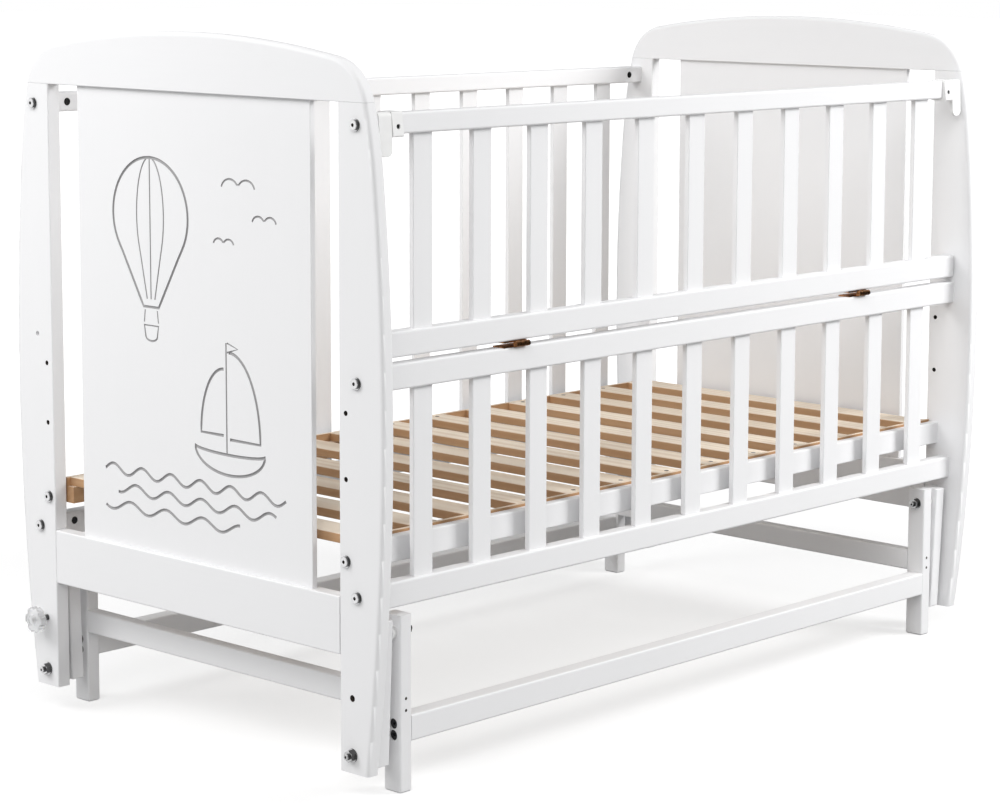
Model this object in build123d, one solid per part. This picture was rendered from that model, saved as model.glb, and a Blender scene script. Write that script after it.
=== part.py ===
from build123d import *
import os
from math import atan2, degrees, hypot

# A cot that hangs on four wooden links inside a low standing frame and swings sideways.
# Millimetres. +Z is up, X runs along the mattress, Y across it. The origin is on the floor,
# under the middle. The side with the fold-down half is at -Y.

# Mattress space
mattress_length = 1200.0
mattress_width = 600.0
end_clearance = 2.0
side_clearance = 1.0

# Heights that the others follow
leg_h = 224.0
base_clearance = 12.0
lower_slat_h = 235.0
cap_z = 850.0
post_foot_z = 35.0

# End frames
post_t = 20.0
post_inset = 23.0
foot_overhang = 4.0
belly_overhang = 32.5
belly_z = 450.0
shoulder_overhang = 18.0
shoulder_drop = 90.0
cap_end_overhang = 3.0
cap_corner_inset = 54.0
cap_corner_rise = 53.5
cap_crown_rise = 75.5
outer_edge_r = 6.0
soft_edge_r = 2.0
panel_gap = 54.5
panel_t = 8.0
groove_depth = 8.0
fit_gap = 0.2
joint_chamfer = 0.8
end_board_drop = 56.5
end_board_h = 72.5
end_board_gap = 0.8
dowel_r = 4.0
dowel_length = 30.0
dowel_pitch = 36.0

# Long sides
rail_t = 21.0
rail_edge_r = 3.0
bottom_rail_h = 32.0
mid_rail_h = 32.0
hinge_gap = 7.5
drop_rail_h = 32.0
top_rail_h = 26.0
top_rail_drop = 13.0
slat_count = 11
slat_end_margin = 85.0
slat_w = 33.0
slat_t = 8.0
slat_face_inset = 6.0
slat_edge_r = 1.5
tenon_depth = 8.0
drop_end_clearance = 2.0

# Bolts through the posts
bolt_r = 3.0
bolt_hole_r = 3.25
bolt_inset = 13.0
bolt_head_r = 6.5
bolt_head_h = 3.5
bolt_head_chamfer = 0.7
socket_r = 2.4
socket_depth = 2.4
washer_r = 7.5
washer_t = 1.4
bolt_reach = 40.0
barrel_inset = 30.0
barrel_r = 5.0
barrel_length = 14.0
thread_gap = 0.05
mid_bolt_rise = 13.0
low_bolt_rise = 19.0

# Slatted bed base
bed_clearance = 2.0
bed_rise = 50.0
bed_rail_t = 15.0
bed_rail_h = 32.0
bed_bolt_inset = 9.0
bed_bolt_rise = 11.0
bed_level_rises = (100.5, 181.0)
batten_t = 18.0
batten_lip_t = 6.0
batten_h = 22.0
batten_rise = 1.0
bed_slat_count = 13
bed_slat_w = 46.0
bed_slat_t = 12.0
bed_end_margin = 5.0

# Fold-down half of the near side
hinge_inset = 242.0
hinge_length = 42.0
hinge_barrel_length = 25.0
hinge_leaf_t = 1.6
knuckle_r = 3.6
knuckle_count = 5
hinge_pin_r = 1.5
running_gap = 0.05
knuckle_side_gap = 0.2
leaf_margin = 2.0

# Latches at the ends of its top rail
latch_rail_inset = 41.0
latch_tenon = 11.0
latch_tenon_wall = 5.0
latch_block_w = 17.5
latch_front = 3.0
latch_block_rise = 1.5
latch_block_drop = 3.0
latch_slant = 4.0
latch_gap = 1.0
lever_pin_r = 2.0
lever_pin_inset = 2.5
lever_pin_drop = 5.0
lever_knuckle_r = 6.5
lever_t = 5.0
lever_length = 47.0
lever_tip_r = 9.0
lever_shelf_t = 5.0
shelf_gap = 4.5
catch_r = 3.5
catch_reach = 14.0
latch_screw_r = 3.0
latch_screw_h = 2.0
latch_screw_x = 8.0
latch_screw_drop = 3.5
latch_seat = 1.8

# Standing frame and swing links
leg_t = 20.0
leg_w = 29.0
leg_edge_r = 2.5
foot_chamfer = 2.0
upper_pivot_inset = 16.5
upper_pivot_drop = 22.0
lower_pivot_inset = 22.5
lower_pivot_rise = 23.0
pivot_r = 4.0
pivot_hole_r = 4.1
open_pivot_slack = 0.5
upper_bush_t = 12.0
lower_bush_t = 9.0
bush_r = 9.5
bush_neck_r = 7.0
lower_bush_r = 8.0
link_t = 20.0
link_w = 29.0
link_end = 19.5
side_play = 0.2
pivot_head_r = 7.0
pivot_head_h = 5.0
nut_flats = 13.0
nut_h = 6.5
nut_chamfer = 0.9
bolt_end_reach = 4.0
bolt_end_recess_r = 1.7
bolt_end_recess_depth = 2.0
pivot_washer_r = 8.5
pivot_washer_t = 1.6
stretcher_t = 25.0
stretcher_z = 63.0
stretcher_h = 33.0
stretcher_bolt_pitch = 14.5
stretcher_bolt_length = 60.0
stretcher_bolt_sink = 2.0
cross_rail_gap = 2.0
cross_rail_h = 30.5
cross_screw_pitch = 15.0
cross_screw_drop = 2.0
screw_r = 2.0
screw_hole_gap = 0.1
screw_length = 42.0

# Lock knobs
lock_rise = 71.0
lock_hole_r = 4.3
stud_r = 3.9
knob_stand_off = 8.0
knob_hub_r = 7.5
knob_hub_t = 6.0
knob_r = 17.5
knob_lobes = 6
knob_scallop_r = 5.0
knob_t = 10.5
knob_boss_r = 8.0
knob_boss_h = 2.5
knob_dish_r = 6.2
knob_dish_depth = 1.5
knob_edge_r = 1.8
stud_tip_inset = 2.5
stud_bite = 5.0

# Planes worked out from the sizes above
inner_x = mattress_length / 2 + end_clearance
outer_x = inner_x + post_t
panel_x = outer_x - post_t / 2
drop_end_x = inner_x - drop_end_clearance
latch_rail_x = inner_x - latch_rail_inset
hinge_x = inner_x - hinge_inset
link_outer_x = inner_x - lower_bush_t
link_inner_x = link_outer_x - link_t
leg_outer_x = link_inner_x - upper_bush_t
leg_inner_x = leg_outer_x - leg_t
leg_middle_x = (leg_inner_x + leg_outer_x) / 2
stretcher_seat_x = leg_outer_x - bolt_head_h - stretcher_bolt_sink

rail_inner_y = mattress_width / 2 + side_clearance
rail_outer_y = rail_inner_y + rail_t
post_inner_y = rail_inner_y - post_inset
panel_half_w = post_inner_y - panel_gap
cap_end_y = rail_outer_y + cap_end_overhang
bolt_y = rail_outer_y - bolt_inset
bed_outer_y = rail_inner_y - bed_clearance
bed_inner_y = bed_outer_y - bed_rail_t
bed_bolt_y = bed_outer_y - bed_bolt_inset
hinge_axis_y = -(rail_outer_y + knuckle_r)
lever_pin_y = rail_outer_y - lever_pin_inset
upper_pivot_y = rail_outer_y - upper_pivot_inset
lower_pivot_y = rail_outer_y - lower_pivot_inset
leg_outer_y = upper_pivot_y + leg_w / 2
leg_inner_y = upper_pivot_y - leg_w / 2
stretcher_bolt_y = leg_outer_y - stretcher_t / 2

bottom_rail_z = leg_h + base_clearance
bottom_rail_top = bottom_rail_z + bottom_rail_h
mid_rail_z = bottom_rail_top + lower_slat_h
mid_rail_top = mid_rail_z + mid_rail_h
drop_rail_z = mid_rail_top + hinge_gap
drop_rail_top = drop_rail_z + drop_rail_h
top_rail_top = cap_z - top_rail_drop
top_rail_z = top_rail_top - top_rail_h
top_bolt_z = top_rail_z + top_rail_h / 2
mid_bolt_z = mid_rail_z + mid_bolt_rise
low_bolt_z = bottom_rail_z + low_bolt_rise
end_board_z = bottom_rail_z - end_board_drop
end_board_top = end_board_z + end_board_h
bed_rail_z = bottom_rail_z + bed_rise
bed_bolt_z = bed_rail_z + bed_bolt_rise
bed_level_z = [bed_bolt_z + rise for rise in bed_level_rises]
batten_z = bed_rail_z + batten_rise
ledge_z = batten_z + batten_h
hinge_axis_z = mid_rail_top + hinge_gap / 2
lever_pin_z = top_rail_top - lever_pin_drop
lever_tip_z = lever_pin_z - lever_length
lever_shelf_top = top_bolt_z - catch_r - shelf_gap
latch_screw_z = top_bolt_z - latch_screw_drop
upper_pivot_z = leg_h - upper_pivot_drop
lower_pivot_z = post_foot_z + lower_pivot_rise
lock_hole_z = lower_pivot_z + lock_rise
stretcher_middle_z = stretcher_z + stretcher_h / 2
cross_rail_z = stretcher_z + stretcher_h + cross_rail_gap
cross_rail_middle_z = cross_rail_z + cross_rail_h / 2
stretcher_bolt_z = [stretcher_middle_z + s * stretcher_bolt_pitch / 2 for s in (-1, 1)]
cross_screw_middle_z = cross_rail_middle_z - cross_screw_drop
cross_screw_z = [cross_screw_middle_z + s * cross_screw_pitch / 2 for s in (-1, 1)]

nodes = {}


def block(x0, x1, y0, y1, z0, z1):
    """Box between two corners."""
    size = (abs(x1 - x0), abs(y1 - y0), abs(z1 - z0))
    return Pos((x0 + x1) / 2, (y0 + y1) / 2, (z0 + z1) / 2) * Box(*size)


def rod_x(x0, x1, y, z, r):
    """Cylinder along X."""
    return Pos(min(x0, x1), y, z) * Rot(0, 90, 0) * Cylinder(
        r, abs(x1 - x0), align=(Align.CENTER, Align.CENTER, Align.MIN)
    )


def rod_y(y0, y1, x, z, r):
    """Cylinder along Y."""
    return Pos(x, min(y0, y1), z) * Rot(-90, 0, 0) * Cylinder(
        r, abs(y1 - y0), align=(Align.CENTER, Align.CENTER, Align.MIN)
    )


def rod_z(z0, z1, x, y, r):
    """Cylinder along Z."""
    return Pos(x, y, z0) * Cylinder(r, z1 - z0, align=(Align.CENTER, Align.CENTER, Align.MIN))


def bar_x(x0, x1, y0, y1, z0, z1, r):
    """Bar along X with its four long edges rounded."""
    bar = block(x0, x1, y0, y1, z0, z1)
    return fillet(bar.edges().filter_by(Axis.X), r)


def group(solids):
    """Several separate solids of one node."""
    return Compound(children=list(solids))


def side_name(sign_x):
    """Name of the end on that side."""
    return "left" if sign_x < 0 else "right"


def row_name(sign_y):
    """Name of the long side on that side."""
    return "near" if sign_y < 0 else "far"


CORNERS = [(sx, sy) for sx in (-1, 1) for sy in (-1, 1)]


def mirrored(part, sx, sy):
    """A part drawn at +X, +Y, carried to another corner."""
    if sx < 0:
        part = part.mirror(Plane.YZ)
    if sy < 0:
        part = part.mirror(Plane.XZ)
    return part


# End frames


def edge_arcs():
    """Outer edge of an end frame from the foot up to the crown, at +Y, as tangent arcs."""
    belly = ThreePointArc(
        (rail_outer_y + foot_overhang, post_foot_z),
        (rail_outer_y + belly_overhang, belly_z),
        (rail_outer_y + shoulder_overhang, cap_z - shoulder_drop),
    )
    shoulder = TangentArc(belly @ 1, (cap_end_y, cap_z), tangent=belly % 1)
    corner_end = (rail_outer_y - cap_corner_inset, cap_z + cap_corner_rise)
    corner = TangentArc(shoulder @ 1, corner_end, tangent=shoulder % 1)
    return belly, shoulder, corner


def post_holes():
    """Bores through a post at +X, +Y: side bolts, bed levels, lock stud and link pivot."""
    spots = [(bolt_y, z, bolt_hole_r) for z in (top_bolt_z, mid_bolt_z, low_bolt_z)]
    spots += [(bed_bolt_y, z, bolt_hole_r) for z in (bed_bolt_z, *bed_level_z)]
    spots += [(lower_pivot_y, lock_hole_z, lock_hole_r)]
    spots += [(lower_pivot_y, lower_pivot_z, pivot_hole_r)]
    return [rod_x(inner_x, outer_x, y, z, r) for y, z, r in spots]


def board_dowel_spots():
    """Heights of the dowels between a post and the low board."""
    middle = end_board_z + end_board_h / 2
    return [middle - dowel_pitch / 2, middle + dowel_pitch / 2]


def cap_dowel_y():
    """Middle of the post's top, where the cap's dowel stands."""
    return (post_inner_y + cap_end_y) / 2


def end_dowels(gap):
    """Dowels of the corner at +X, +Y, or their holes where gap is above zero."""
    r = dowel_r + gap
    half = dowel_length / 2 + gap
    joint_y = post_inner_y - end_board_gap / 2
    dowels = [
        rod_y(joint_y - half, joint_y + half, panel_x, z, r) for z in board_dowel_spots()
    ]
    dowels.append(rod_z(cap_z - half, cap_z + half, panel_x, cap_dowel_y(), r))
    return dowels


def post():
    """Post at +X, +Y: straight inside edge, bellied outside edge with rounded corners."""
    belly, shoulder, corner = edge_arcs()
    foot = Line((post_inner_y, post_foot_z), belly @ 0)
    top = Line(shoulder @ 1, (post_inner_y, cap_z))
    inside = Line((post_inner_y, cap_z), (post_inner_y, post_foot_z))
    outline = make_face([foot, belly, shoulder, top, inside])
    body = extrude(Plane.YZ.offset(inner_x) * outline, post_t)
    body = fillet(body.edges().filter_by(GeomType.CIRCLE), outer_edge_r)
    inside_edges = body.edges().filter_by(Axis.Z).group_by(Axis.Y)[0]
    body = fillet(inside_edges, soft_edge_r)
    return body - post_holes() - end_dowels(fit_gap)


def cap():
    """Arched cap board at +X, grooved below for the panel."""
    belly, shoulder, corner = edge_arcs()
    start = shoulder @ 1
    half_crown = corner @ 1
    far_corner = mirror(corner, about=Plane.YZ)
    crown = ThreePointArc(
        half_crown, (0, cap_z + cap_crown_rise), (-half_crown.X, half_crown.Y)
    )
    base = Line((-start.X, cap_z), (start.X, cap_z))
    outline = make_face([base, corner, crown, far_corner])
    body = extrude(Plane.YZ.offset(inner_x) * outline, post_t)
    body = fillet(body.edges().filter_by(GeomType.CIRCLE), outer_edge_r)
    body = chamfer(body.faces().sort_by(Axis.Z)[0].edges(), joint_chamfer)
    half_groove = panel_t / 2 + fit_gap
    groove = block(
        panel_x - half_groove, panel_x + half_groove,
        -panel_half_w - fit_gap, panel_half_w + fit_gap,
        cap_z, cap_z + groove_depth,
    )
    dowels = end_dowels(fit_gap)
    return body - groove - dowels - [mirrored(d, 1, -1) for d in dowels]


def end_board():
    """Low board between the posts at +X, grooved above for the panel."""
    half_length = post_inner_y - end_board_gap
    body = block(inner_x, outer_x, -half_length, half_length, end_board_z, end_board_top)
    body = fillet(body.edges().filter_by(Axis.Y), soft_edge_r)
    for end_face in body.faces().filter_by(Axis.Y):
        body = chamfer(end_face.edges(), joint_chamfer)
    half_groove = panel_t / 2 + fit_gap
    groove = block(
        panel_x - half_groove, panel_x + half_groove,
        -panel_half_w - fit_gap, panel_half_w + fit_gap,
        end_board_top - groove_depth, end_board_top,
    )
    dowels = end_dowels(fit_gap)
    return body - groove - dowels - [mirrored(d, 1, -1) for d in dowels]


def end_panel():
    """Thin panel at +X, housed in the cap and the low board."""
    body = block(
        panel_x - panel_t / 2, panel_x + panel_t / 2,
        -panel_half_w, panel_half_w,
        end_board_top - groove_depth, cap_z + groove_depth - fit_gap,
    )
    return fillet(body.edges().filter_by(Axis.Z), soft_edge_r / 2)


for sign_x in (-1, 1):
    end = side_name(sign_x)
    nodes[f"end_cap_{end}"] = mirrored(cap(), sign_x, 1)
    nodes[f"end_board_{end}"] = mirrored(end_board(), sign_x, 1)
    nodes[f"end_panel_{end}"] = mirrored(end_panel(), sign_x, 1)
    for sign_y in (-1, 1):
        nodes[f"post_{row_name(sign_y)}_{end}"] = mirrored(post(), sign_x, sign_y)
nodes["end_dowels"] = group(
    mirrored(dowel, sx, sy) for sx, sy in CORNERS for dowel in end_dowels(0)
)


# Long sides


def slat_places():
    """Middles of the upright slats of a side."""
    first = slat_end_margin - inner_x
    pitch = -2 * first / (slat_count - 1)
    return [first + pitch * i for i in range(slat_count)]


def slats(sign_y, z0, z1):
    """Upright slats between two rails, with their ends let into both."""
    face_y = sign_y * (rail_outer_y - slat_face_inset)
    back_y = face_y - sign_y * slat_t
    made = []
    for x in slat_places():
        slat = block(
            x - slat_w / 2, x + slat_w / 2, face_y, back_y,
            z0 - tenon_depth, z1 + tenon_depth - fit_gap,
        )
        made.append(fillet(slat.edges().filter_by(Axis.Z), slat_edge_r))
    return group(made)


def mortises(sign_y, z0, z1):
    """Pockets for the slats' ends between two heights."""
    face_y = sign_y * (rail_outer_y - slat_face_inset + fit_gap)
    back_y = sign_y * (rail_outer_y - slat_face_inset - slat_t - fit_gap)
    half_w = slat_w / 2 + fit_gap
    return [block(x - half_w, x + half_w, face_y, back_y, z0, z1) for x in slat_places()]


def rail(sign_y, half_length, z0, height, mortise_up, mortise_down):
    """Long rail of a side, with mortises in its top, its underside or both."""
    y0 = sign_y * rail_inner_y
    y1 = sign_y * rail_outer_y
    body = bar_x(-half_length, half_length, y0, y1, z0, z0 + height, rail_edge_r)
    if mortise_up:
        body -= mortises(sign_y, z0 + height - tenon_depth, z0 + height)
    if mortise_down:
        body -= mortises(sign_y, z0, z0 + tenon_depth)
    return body


def rail_bolt_cut(sign_y, z):
    """Bolt bores and barrel nut holes at both ends of a bolted rail."""
    cuts = []
    for sign_x in (-1, 1):
        tip_x = inner_x - bolt_reach - fit_gap
        cuts.append(rod_x(sign_x * inner_x, sign_x * tip_x, sign_y * bolt_y, z, bolt_hole_r))
        nut_x = sign_x * (inner_x - barrel_inset)
        nut_end = sign_y * (rail_inner_y + barrel_length + fit_gap)
        cuts.append(rod_y(sign_y * rail_inner_y, nut_end, nut_x, z, barrel_r + fit_gap))
    return cuts


nodes["far_top_rail"] = rail(
    1, inner_x, top_rail_z, top_rail_h, False, True
) - rail_bolt_cut(1, top_bolt_z)
nodes["far_bottom_rail"] = rail(
    1, inner_x, bottom_rail_z, bottom_rail_h, True, False
) - rail_bolt_cut(1, low_bolt_z)
nodes["far_slats"] = slats(1, bottom_rail_top, top_rail_z)

nodes["near_bottom_rail"] = rail(
    -1, inner_x, bottom_rail_z, bottom_rail_h, True, False
) - rail_bolt_cut(-1, low_bolt_z)
nodes["near_mid_rail"] = rail(
    -1, inner_x, mid_rail_z, mid_rail_h, False, True
) - rail_bolt_cut(-1, mid_bolt_z)
nodes["near_lower_slats"] = slats(-1, bottom_rail_top, mid_rail_z)


# Frame bolts, washers and barrel nuts


def socket_bolt(y, z, reach):
    """Flat-headed socket bolt through a post at +X, with its head outside."""
    under_head = outer_x + washer_t
    shank = rod_x(inner_x - reach, under_head, y, z, bolt_r)
    head = rod_x(under_head, under_head + bolt_head_h, y, z, bolt_head_r)
    rim = head.edges().filter_by(GeomType.CIRCLE).sort_by(Axis.X)[-1]
    head = chamfer(rim, bolt_head_chamfer)
    face = under_head + bolt_head_h
    hexagon = RegularPolygon(socket_r, 6)
    socket = extrude(Pos(face - socket_depth, y, z) * Rot(0, 90, 0) * hexagon, socket_depth)
    return shank + head - socket


def ring_x(x0, x1, y, z, outer_r, inner_r):
    """Flat ring along X."""
    return rod_x(x0, x1, y, z, outer_r) - rod_x(x0, x1, y, z, inner_r)


def bolt_spots():
    """Every frame bolt as (end, side, y, z, y of its rail's inner face)."""
    spots = []
    for sx, sy in CORNERS:
        heights = (mid_bolt_z, low_bolt_z) if sy < 0 else (top_bolt_z, low_bolt_z)
        spots += [(sx, sy, bolt_y, z) for z in heights]
        spots.append((sx, sy, bed_bolt_y, bed_bolt_z))
    return spots


def side_barrel(z):
    """Barrel nut of a side rail at +X, +Y, let in from the rail's inner face."""
    x = inner_x - barrel_inset
    start = rail_inner_y
    nut = rod_y(start, start + barrel_length, x, z, barrel_r)
    return nut - rod_x(x - barrel_r, x + barrel_r, bolt_y, z, bolt_r + thread_gap)


def bed_barrel():
    """Barrel nut of a bed rail at +X, +Y, let in from below."""
    x = inner_x - barrel_inset
    nut = rod_z(bed_rail_z, bed_rail_z + barrel_length + barrel_r, x, bed_bolt_y, barrel_r)
    return nut - rod_x(
        x - barrel_r, x + barrel_r, bed_bolt_y, bed_bolt_z, bolt_r + thread_gap
    )


nodes["frame_bolts"] = group(
    mirrored(socket_bolt(y, z, bolt_reach), sx, sy) for sx, sy, y, z in bolt_spots()
)
washer_spots = bolt_spots() + [(sx, -1, bolt_y, top_bolt_z) for sx in (-1, 1)]
nodes["frame_washers"] = group(
    mirrored(ring_x(outer_x, outer_x + washer_t, y, z, washer_r, bolt_hole_r), sx, sy)
    for sx, sy, y, z in washer_spots
)
nodes["barrel_nuts"] = group(
    mirrored(bed_barrel() if y == bed_bolt_y else side_barrel(z), sx, sy)
    for sx, sy, y, z in bolt_spots()
)


def latch_catch():
    """Socket bolt at +X, +Y whose inner end stands out of the post as the latch's catch."""
    under_head = outer_x + washer_t
    bolt = socket_bolt(bolt_y, top_bolt_z, 0)
    tip_x = inner_x - catch_reach
    peg = rod_x(tip_x, inner_x, bolt_y, top_bolt_z, catch_r)
    tip = peg.edges().filter_by(GeomType.CIRCLE).sort_by(Axis.X)[0]
    peg = chamfer(tip, catch_r / 4)
    return bolt + peg


nodes["latch_catches"] = group(mirrored(latch_catch(), sx, -1) for sx in (-1, 1))


# Fold-down half of the near side


def drop_top_rail():
    """Top rail of the fold-down half, with a tenon at each end for the latch block."""
    body = rail(-1, latch_rail_x, top_rail_z, top_rail_h, False, True)
    wall = latch_tenon_wall
    tenons = bar_x(
        -latch_rail_x - latch_tenon, latch_rail_x + latch_tenon,
        -rail_outer_y + wall, -rail_inner_y - wall,
        top_rail_z + wall, top_rail_top - wall, slat_edge_r,
    )
    inside = block(
        -latch_rail_x, latch_rail_x, -rail_outer_y, -rail_inner_y, top_rail_z, top_rail_top
    )
    body += tenons - inside
    return body - [latch_screw_hole(sign_x) for sign_x in (-1, 1)]


def latch_screw_hole(sign_x):
    """Bore of a latch screw, from its seat to the middle of the tenon."""
    x = sign_x * (latch_rail_x + latch_screw_x)
    middle_y = -(rail_inner_y + rail_outer_y) / 2
    return rod_y(-rail_outer_y - latch_seat, middle_y, x, latch_screw_z, screw_r)


def latch_block(sign_x):
    """Moulded block on the rail's end, its front slanting out towards the bottom."""
    z0 = top_rail_z - latch_block_drop
    z1 = top_rail_top + latch_block_rise
    front = -rail_outer_y - latch_front
    outline = make_face(
        Polyline(
            (-rail_inner_y, z0), (-rail_inner_y, z1), (front, z1),
            (front - latch_slant, z0), close=True,
        )
    )
    body = extrude(Plane.YZ.offset(latch_rail_x) * outline, latch_block_w)
    body = fillet(body.edges().filter_by(Axis.X), soft_edge_r)
    wall = latch_tenon_wall - fit_gap
    pocket = block(
        latch_rail_x, latch_rail_x + latch_tenon + fit_gap,
        -rail_outer_y + wall, -rail_inner_y - wall,
        top_rail_z + wall, top_rail_top - wall,
    )
    outboard = latch_rail_x + latch_block_w
    pin_hole = rod_x(
        latch_rail_x + latch_tenon + latch_gap, outboard, -lever_pin_y, lever_pin_z, lever_pin_r
    )
    seat_y = -rail_outer_y - latch_seat
    screw_seat = rod_y(
        seat_y, front - latch_slant, latch_rail_x + latch_screw_x, latch_screw_z,
        latch_screw_r + fit_gap,
    )
    body = body - pocket - pin_hole - latch_screw_hole(1) - screw_seat
    return mirrored(body, sign_x, 1)


def latch_screw(sign_x):
    """Dark pan-head screw that holds a latch block to the rail's tenon."""
    x = latch_rail_x + latch_screw_x
    middle_y = -(rail_inner_y + rail_outer_y) / 2
    seat_y = -rail_outer_y - latch_seat
    shank = rod_y(middle_y, seat_y, x, latch_screw_z, screw_r - screw_hole_gap)
    head = rod_y(seat_y, seat_y - latch_screw_h, x, latch_screw_z, latch_screw_r)
    rim = head.edges().filter_by(GeomType.CIRCLE).sort_by(Axis.Y)[0]
    head = fillet(rim, latch_screw_h / 2)
    return mirrored(shank + head, sign_x, 1)


def latch_lever(sign_x):
    """Finger lever beside the block: knuckle, hanging tongue and the shelf under the catch."""
    x0 = latch_rail_x + latch_block_w + latch_gap
    x1 = drop_end_x
    front = -lever_pin_y - lever_knuckle_r
    knuckle = rod_x(x0, x1, -lever_pin_y, lever_pin_z, lever_knuckle_r)
    tongue = make_face(
        Polyline(
            (front, lever_pin_z), (front - lever_t / 2, lever_tip_z),
            (front + lever_t / 2, lever_tip_z), (front + lever_t, lever_pin_z), close=True,
        )
    )
    tongue = extrude(Plane.YZ.offset(x0) * tongue, x1 - x0)
    tip_edges = tongue.edges().filter_by(Axis.Y, tolerance=1).group_by(Axis.Z)[0]
    tongue = fillet(tip_edges, lever_tip_r)
    shelf = block(
        x0, x1, front + lever_t / 2, -bolt_y + catch_r,
        lever_shelf_top - lever_shelf_t, lever_shelf_top,
    )
    shelf_nose = shelf.edges().filter_by(Axis.X).group_by(Axis.Y)[-1]
    shelf = fillet(shelf_nose, soft_edge_r)
    body = knuckle + tongue + shelf
    body -= rod_x(x0, x1, -lever_pin_y, lever_pin_z, lever_pin_r + running_gap)
    return mirrored(body, sign_x, 1)


def lever_pin(sign_x):
    """Steel pin from the block's outer wall through the lever."""
    start = latch_rail_x + latch_tenon + latch_gap
    pin = rod_x(start, drop_end_x, -lever_pin_y, lever_pin_z, lever_pin_r)
    return mirrored(pin, sign_x, 1)


nodes["drop_top_rail"] = drop_top_rail()
nodes["drop_lower_rail"] = rail(-1, drop_end_x, drop_rail_z, drop_rail_h, True, False)
nodes["drop_slats"] = slats(-1, drop_rail_top, top_rail_z)
for sign_x in (-1, 1):
    end = side_name(sign_x)
    nodes[f"latch_lever_{end}"] = latch_lever(sign_x)
nodes["latch_blocks"] = group(latch_block(sign_x) for sign_x in (-1, 1))
nodes["latch_pins"] = group(lever_pin(sign_x) for sign_x in (-1, 1))
nodes["latch_screws"] = group(latch_screw(sign_x) for sign_x in (-1, 1))


# Butt hinges between the halves


def knuckle_spans(x, odd):
    """Stretches of a hinge's knuckle that belong to one leaf."""
    step = hinge_barrel_length / knuckle_count
    start = x + hinge_length / 2 - hinge_barrel_length
    gap = knuckle_side_gap / 2
    return [
        (start + step * i + gap, start + step * (i + 1) - gap)
        for i in range(knuckle_count)
        if (i % 2 == 1) == odd
    ]


def hinge_leaf(x, upper):
    """One leaf: a plate in the gap between the rails, curled round the pin outside."""
    plate_back = -rail_inner_y - leaf_margin
    if upper:
        z0, z1 = drop_rail_z - hinge_leaf_t, drop_rail_z
        bore_r = hinge_pin_r + running_gap
    else:
        z0, z1 = mid_rail_top, mid_rail_top + hinge_leaf_t
        bore_r = hinge_pin_r
    half = hinge_length / 2
    leaf = block(x - half, x + half, -rail_outer_y + knuckle_side_gap, plate_back, z0, z1)
    for x0, x1 in knuckle_spans(x, upper):
        leaf += rod_x(x0, x1, hinge_axis_y, hinge_axis_z, knuckle_r)
        leaf += block(x0, x1, hinge_axis_y, -rail_outer_y + leaf_margin, z0, z1)
    for x0, x1 in knuckle_spans(x, upper):
        leaf -= rod_x(x0, x1, hinge_axis_y, hinge_axis_z, bore_r)
    return leaf


def hinge_pin(x):
    """Pin through all knuckles of a hinge."""
    end_x = x + hinge_length / 2
    return rod_x(end_x - hinge_barrel_length, end_x, hinge_axis_y, hinge_axis_z, hinge_pin_r)


hinge_places = (-hinge_x, hinge_x)
nodes["hinge_fixed_halves"] = group(
    piece for x in hinge_places for piece in (hinge_leaf(x, False), hinge_pin(x))
)
nodes["hinge_moving_leaves"] = group(hinge_leaf(x, True) for x in hinge_places)


# Slatted bed base


def bed_rail(sign_y):
    """White bearer bolted to the posts at one of three levels."""
    body = bar_x(
        -inner_x, inner_x, sign_y * bed_inner_y, sign_y * bed_outer_y,
        bed_rail_z, bed_rail_z + bed_rail_h, soft_edge_r,
    )
    tip_x = inner_x - bolt_reach - fit_gap
    nut_x = inner_x - barrel_inset
    nut_top = bed_rail_z + barrel_length + barrel_r + fit_gap
    for sign_x in (-1, 1):
        body -= rod_x(
            sign_x * inner_x, sign_x * tip_x, sign_y * bed_bolt_y, bed_bolt_z, bolt_hole_r
        )
        body -= rod_z(
            bed_rail_z, nut_top, sign_x * nut_x, sign_y * bed_bolt_y, barrel_r + fit_gap
        )
    return body


def bed_batten(sign_y):
    """Natural wood batten inside a bearer: a ledge under the slats and a lip behind them."""
    half_length = mattress_length / 2
    ledge_y = bed_inner_y - batten_t
    lip_y = bed_inner_y - batten_lip_t
    outline = make_face(
        Polyline(
            (sign_y * bed_inner_y, batten_z), (sign_y * ledge_y, batten_z),
            (sign_y * ledge_y, ledge_z), (sign_y * lip_y, ledge_z),
            (sign_y * lip_y, ledge_z + bed_slat_t),
            (sign_y * bed_inner_y, ledge_z + bed_slat_t), close=True,
        )
    )
    return extrude(Plane.YZ.offset(-half_length) * outline, 2 * half_length, dir=(1, 0, 0))


def bed_slats():
    """Crosswise slats, evenly spaced, lying on both ledges."""
    half_span = mattress_length / 2 - bed_end_margin - bed_slat_w / 2
    pitch = 2 * half_span / (bed_slat_count - 1)
    half_length = bed_inner_y - batten_lip_t - fit_gap
    made = []
    for i in range(bed_slat_count):
        x = -half_span + pitch * i
        slat = block(
            x - bed_slat_w / 2, x + bed_slat_w / 2, -half_length, half_length,
            ledge_z, ledge_z + bed_slat_t,
        )
        made.append(fillet(slat.edges().filter_by(Axis.Y), slat_edge_r))
    return group(made)


for sign_y in (-1, 1):
    nodes[f"bed_rail_{row_name(sign_y)}"] = bed_rail(sign_y)
    nodes[f"bed_batten_{row_name(sign_y)}"] = bed_batten(sign_y)
nodes["bed_slats"] = bed_slats()


# Standing frame


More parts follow.
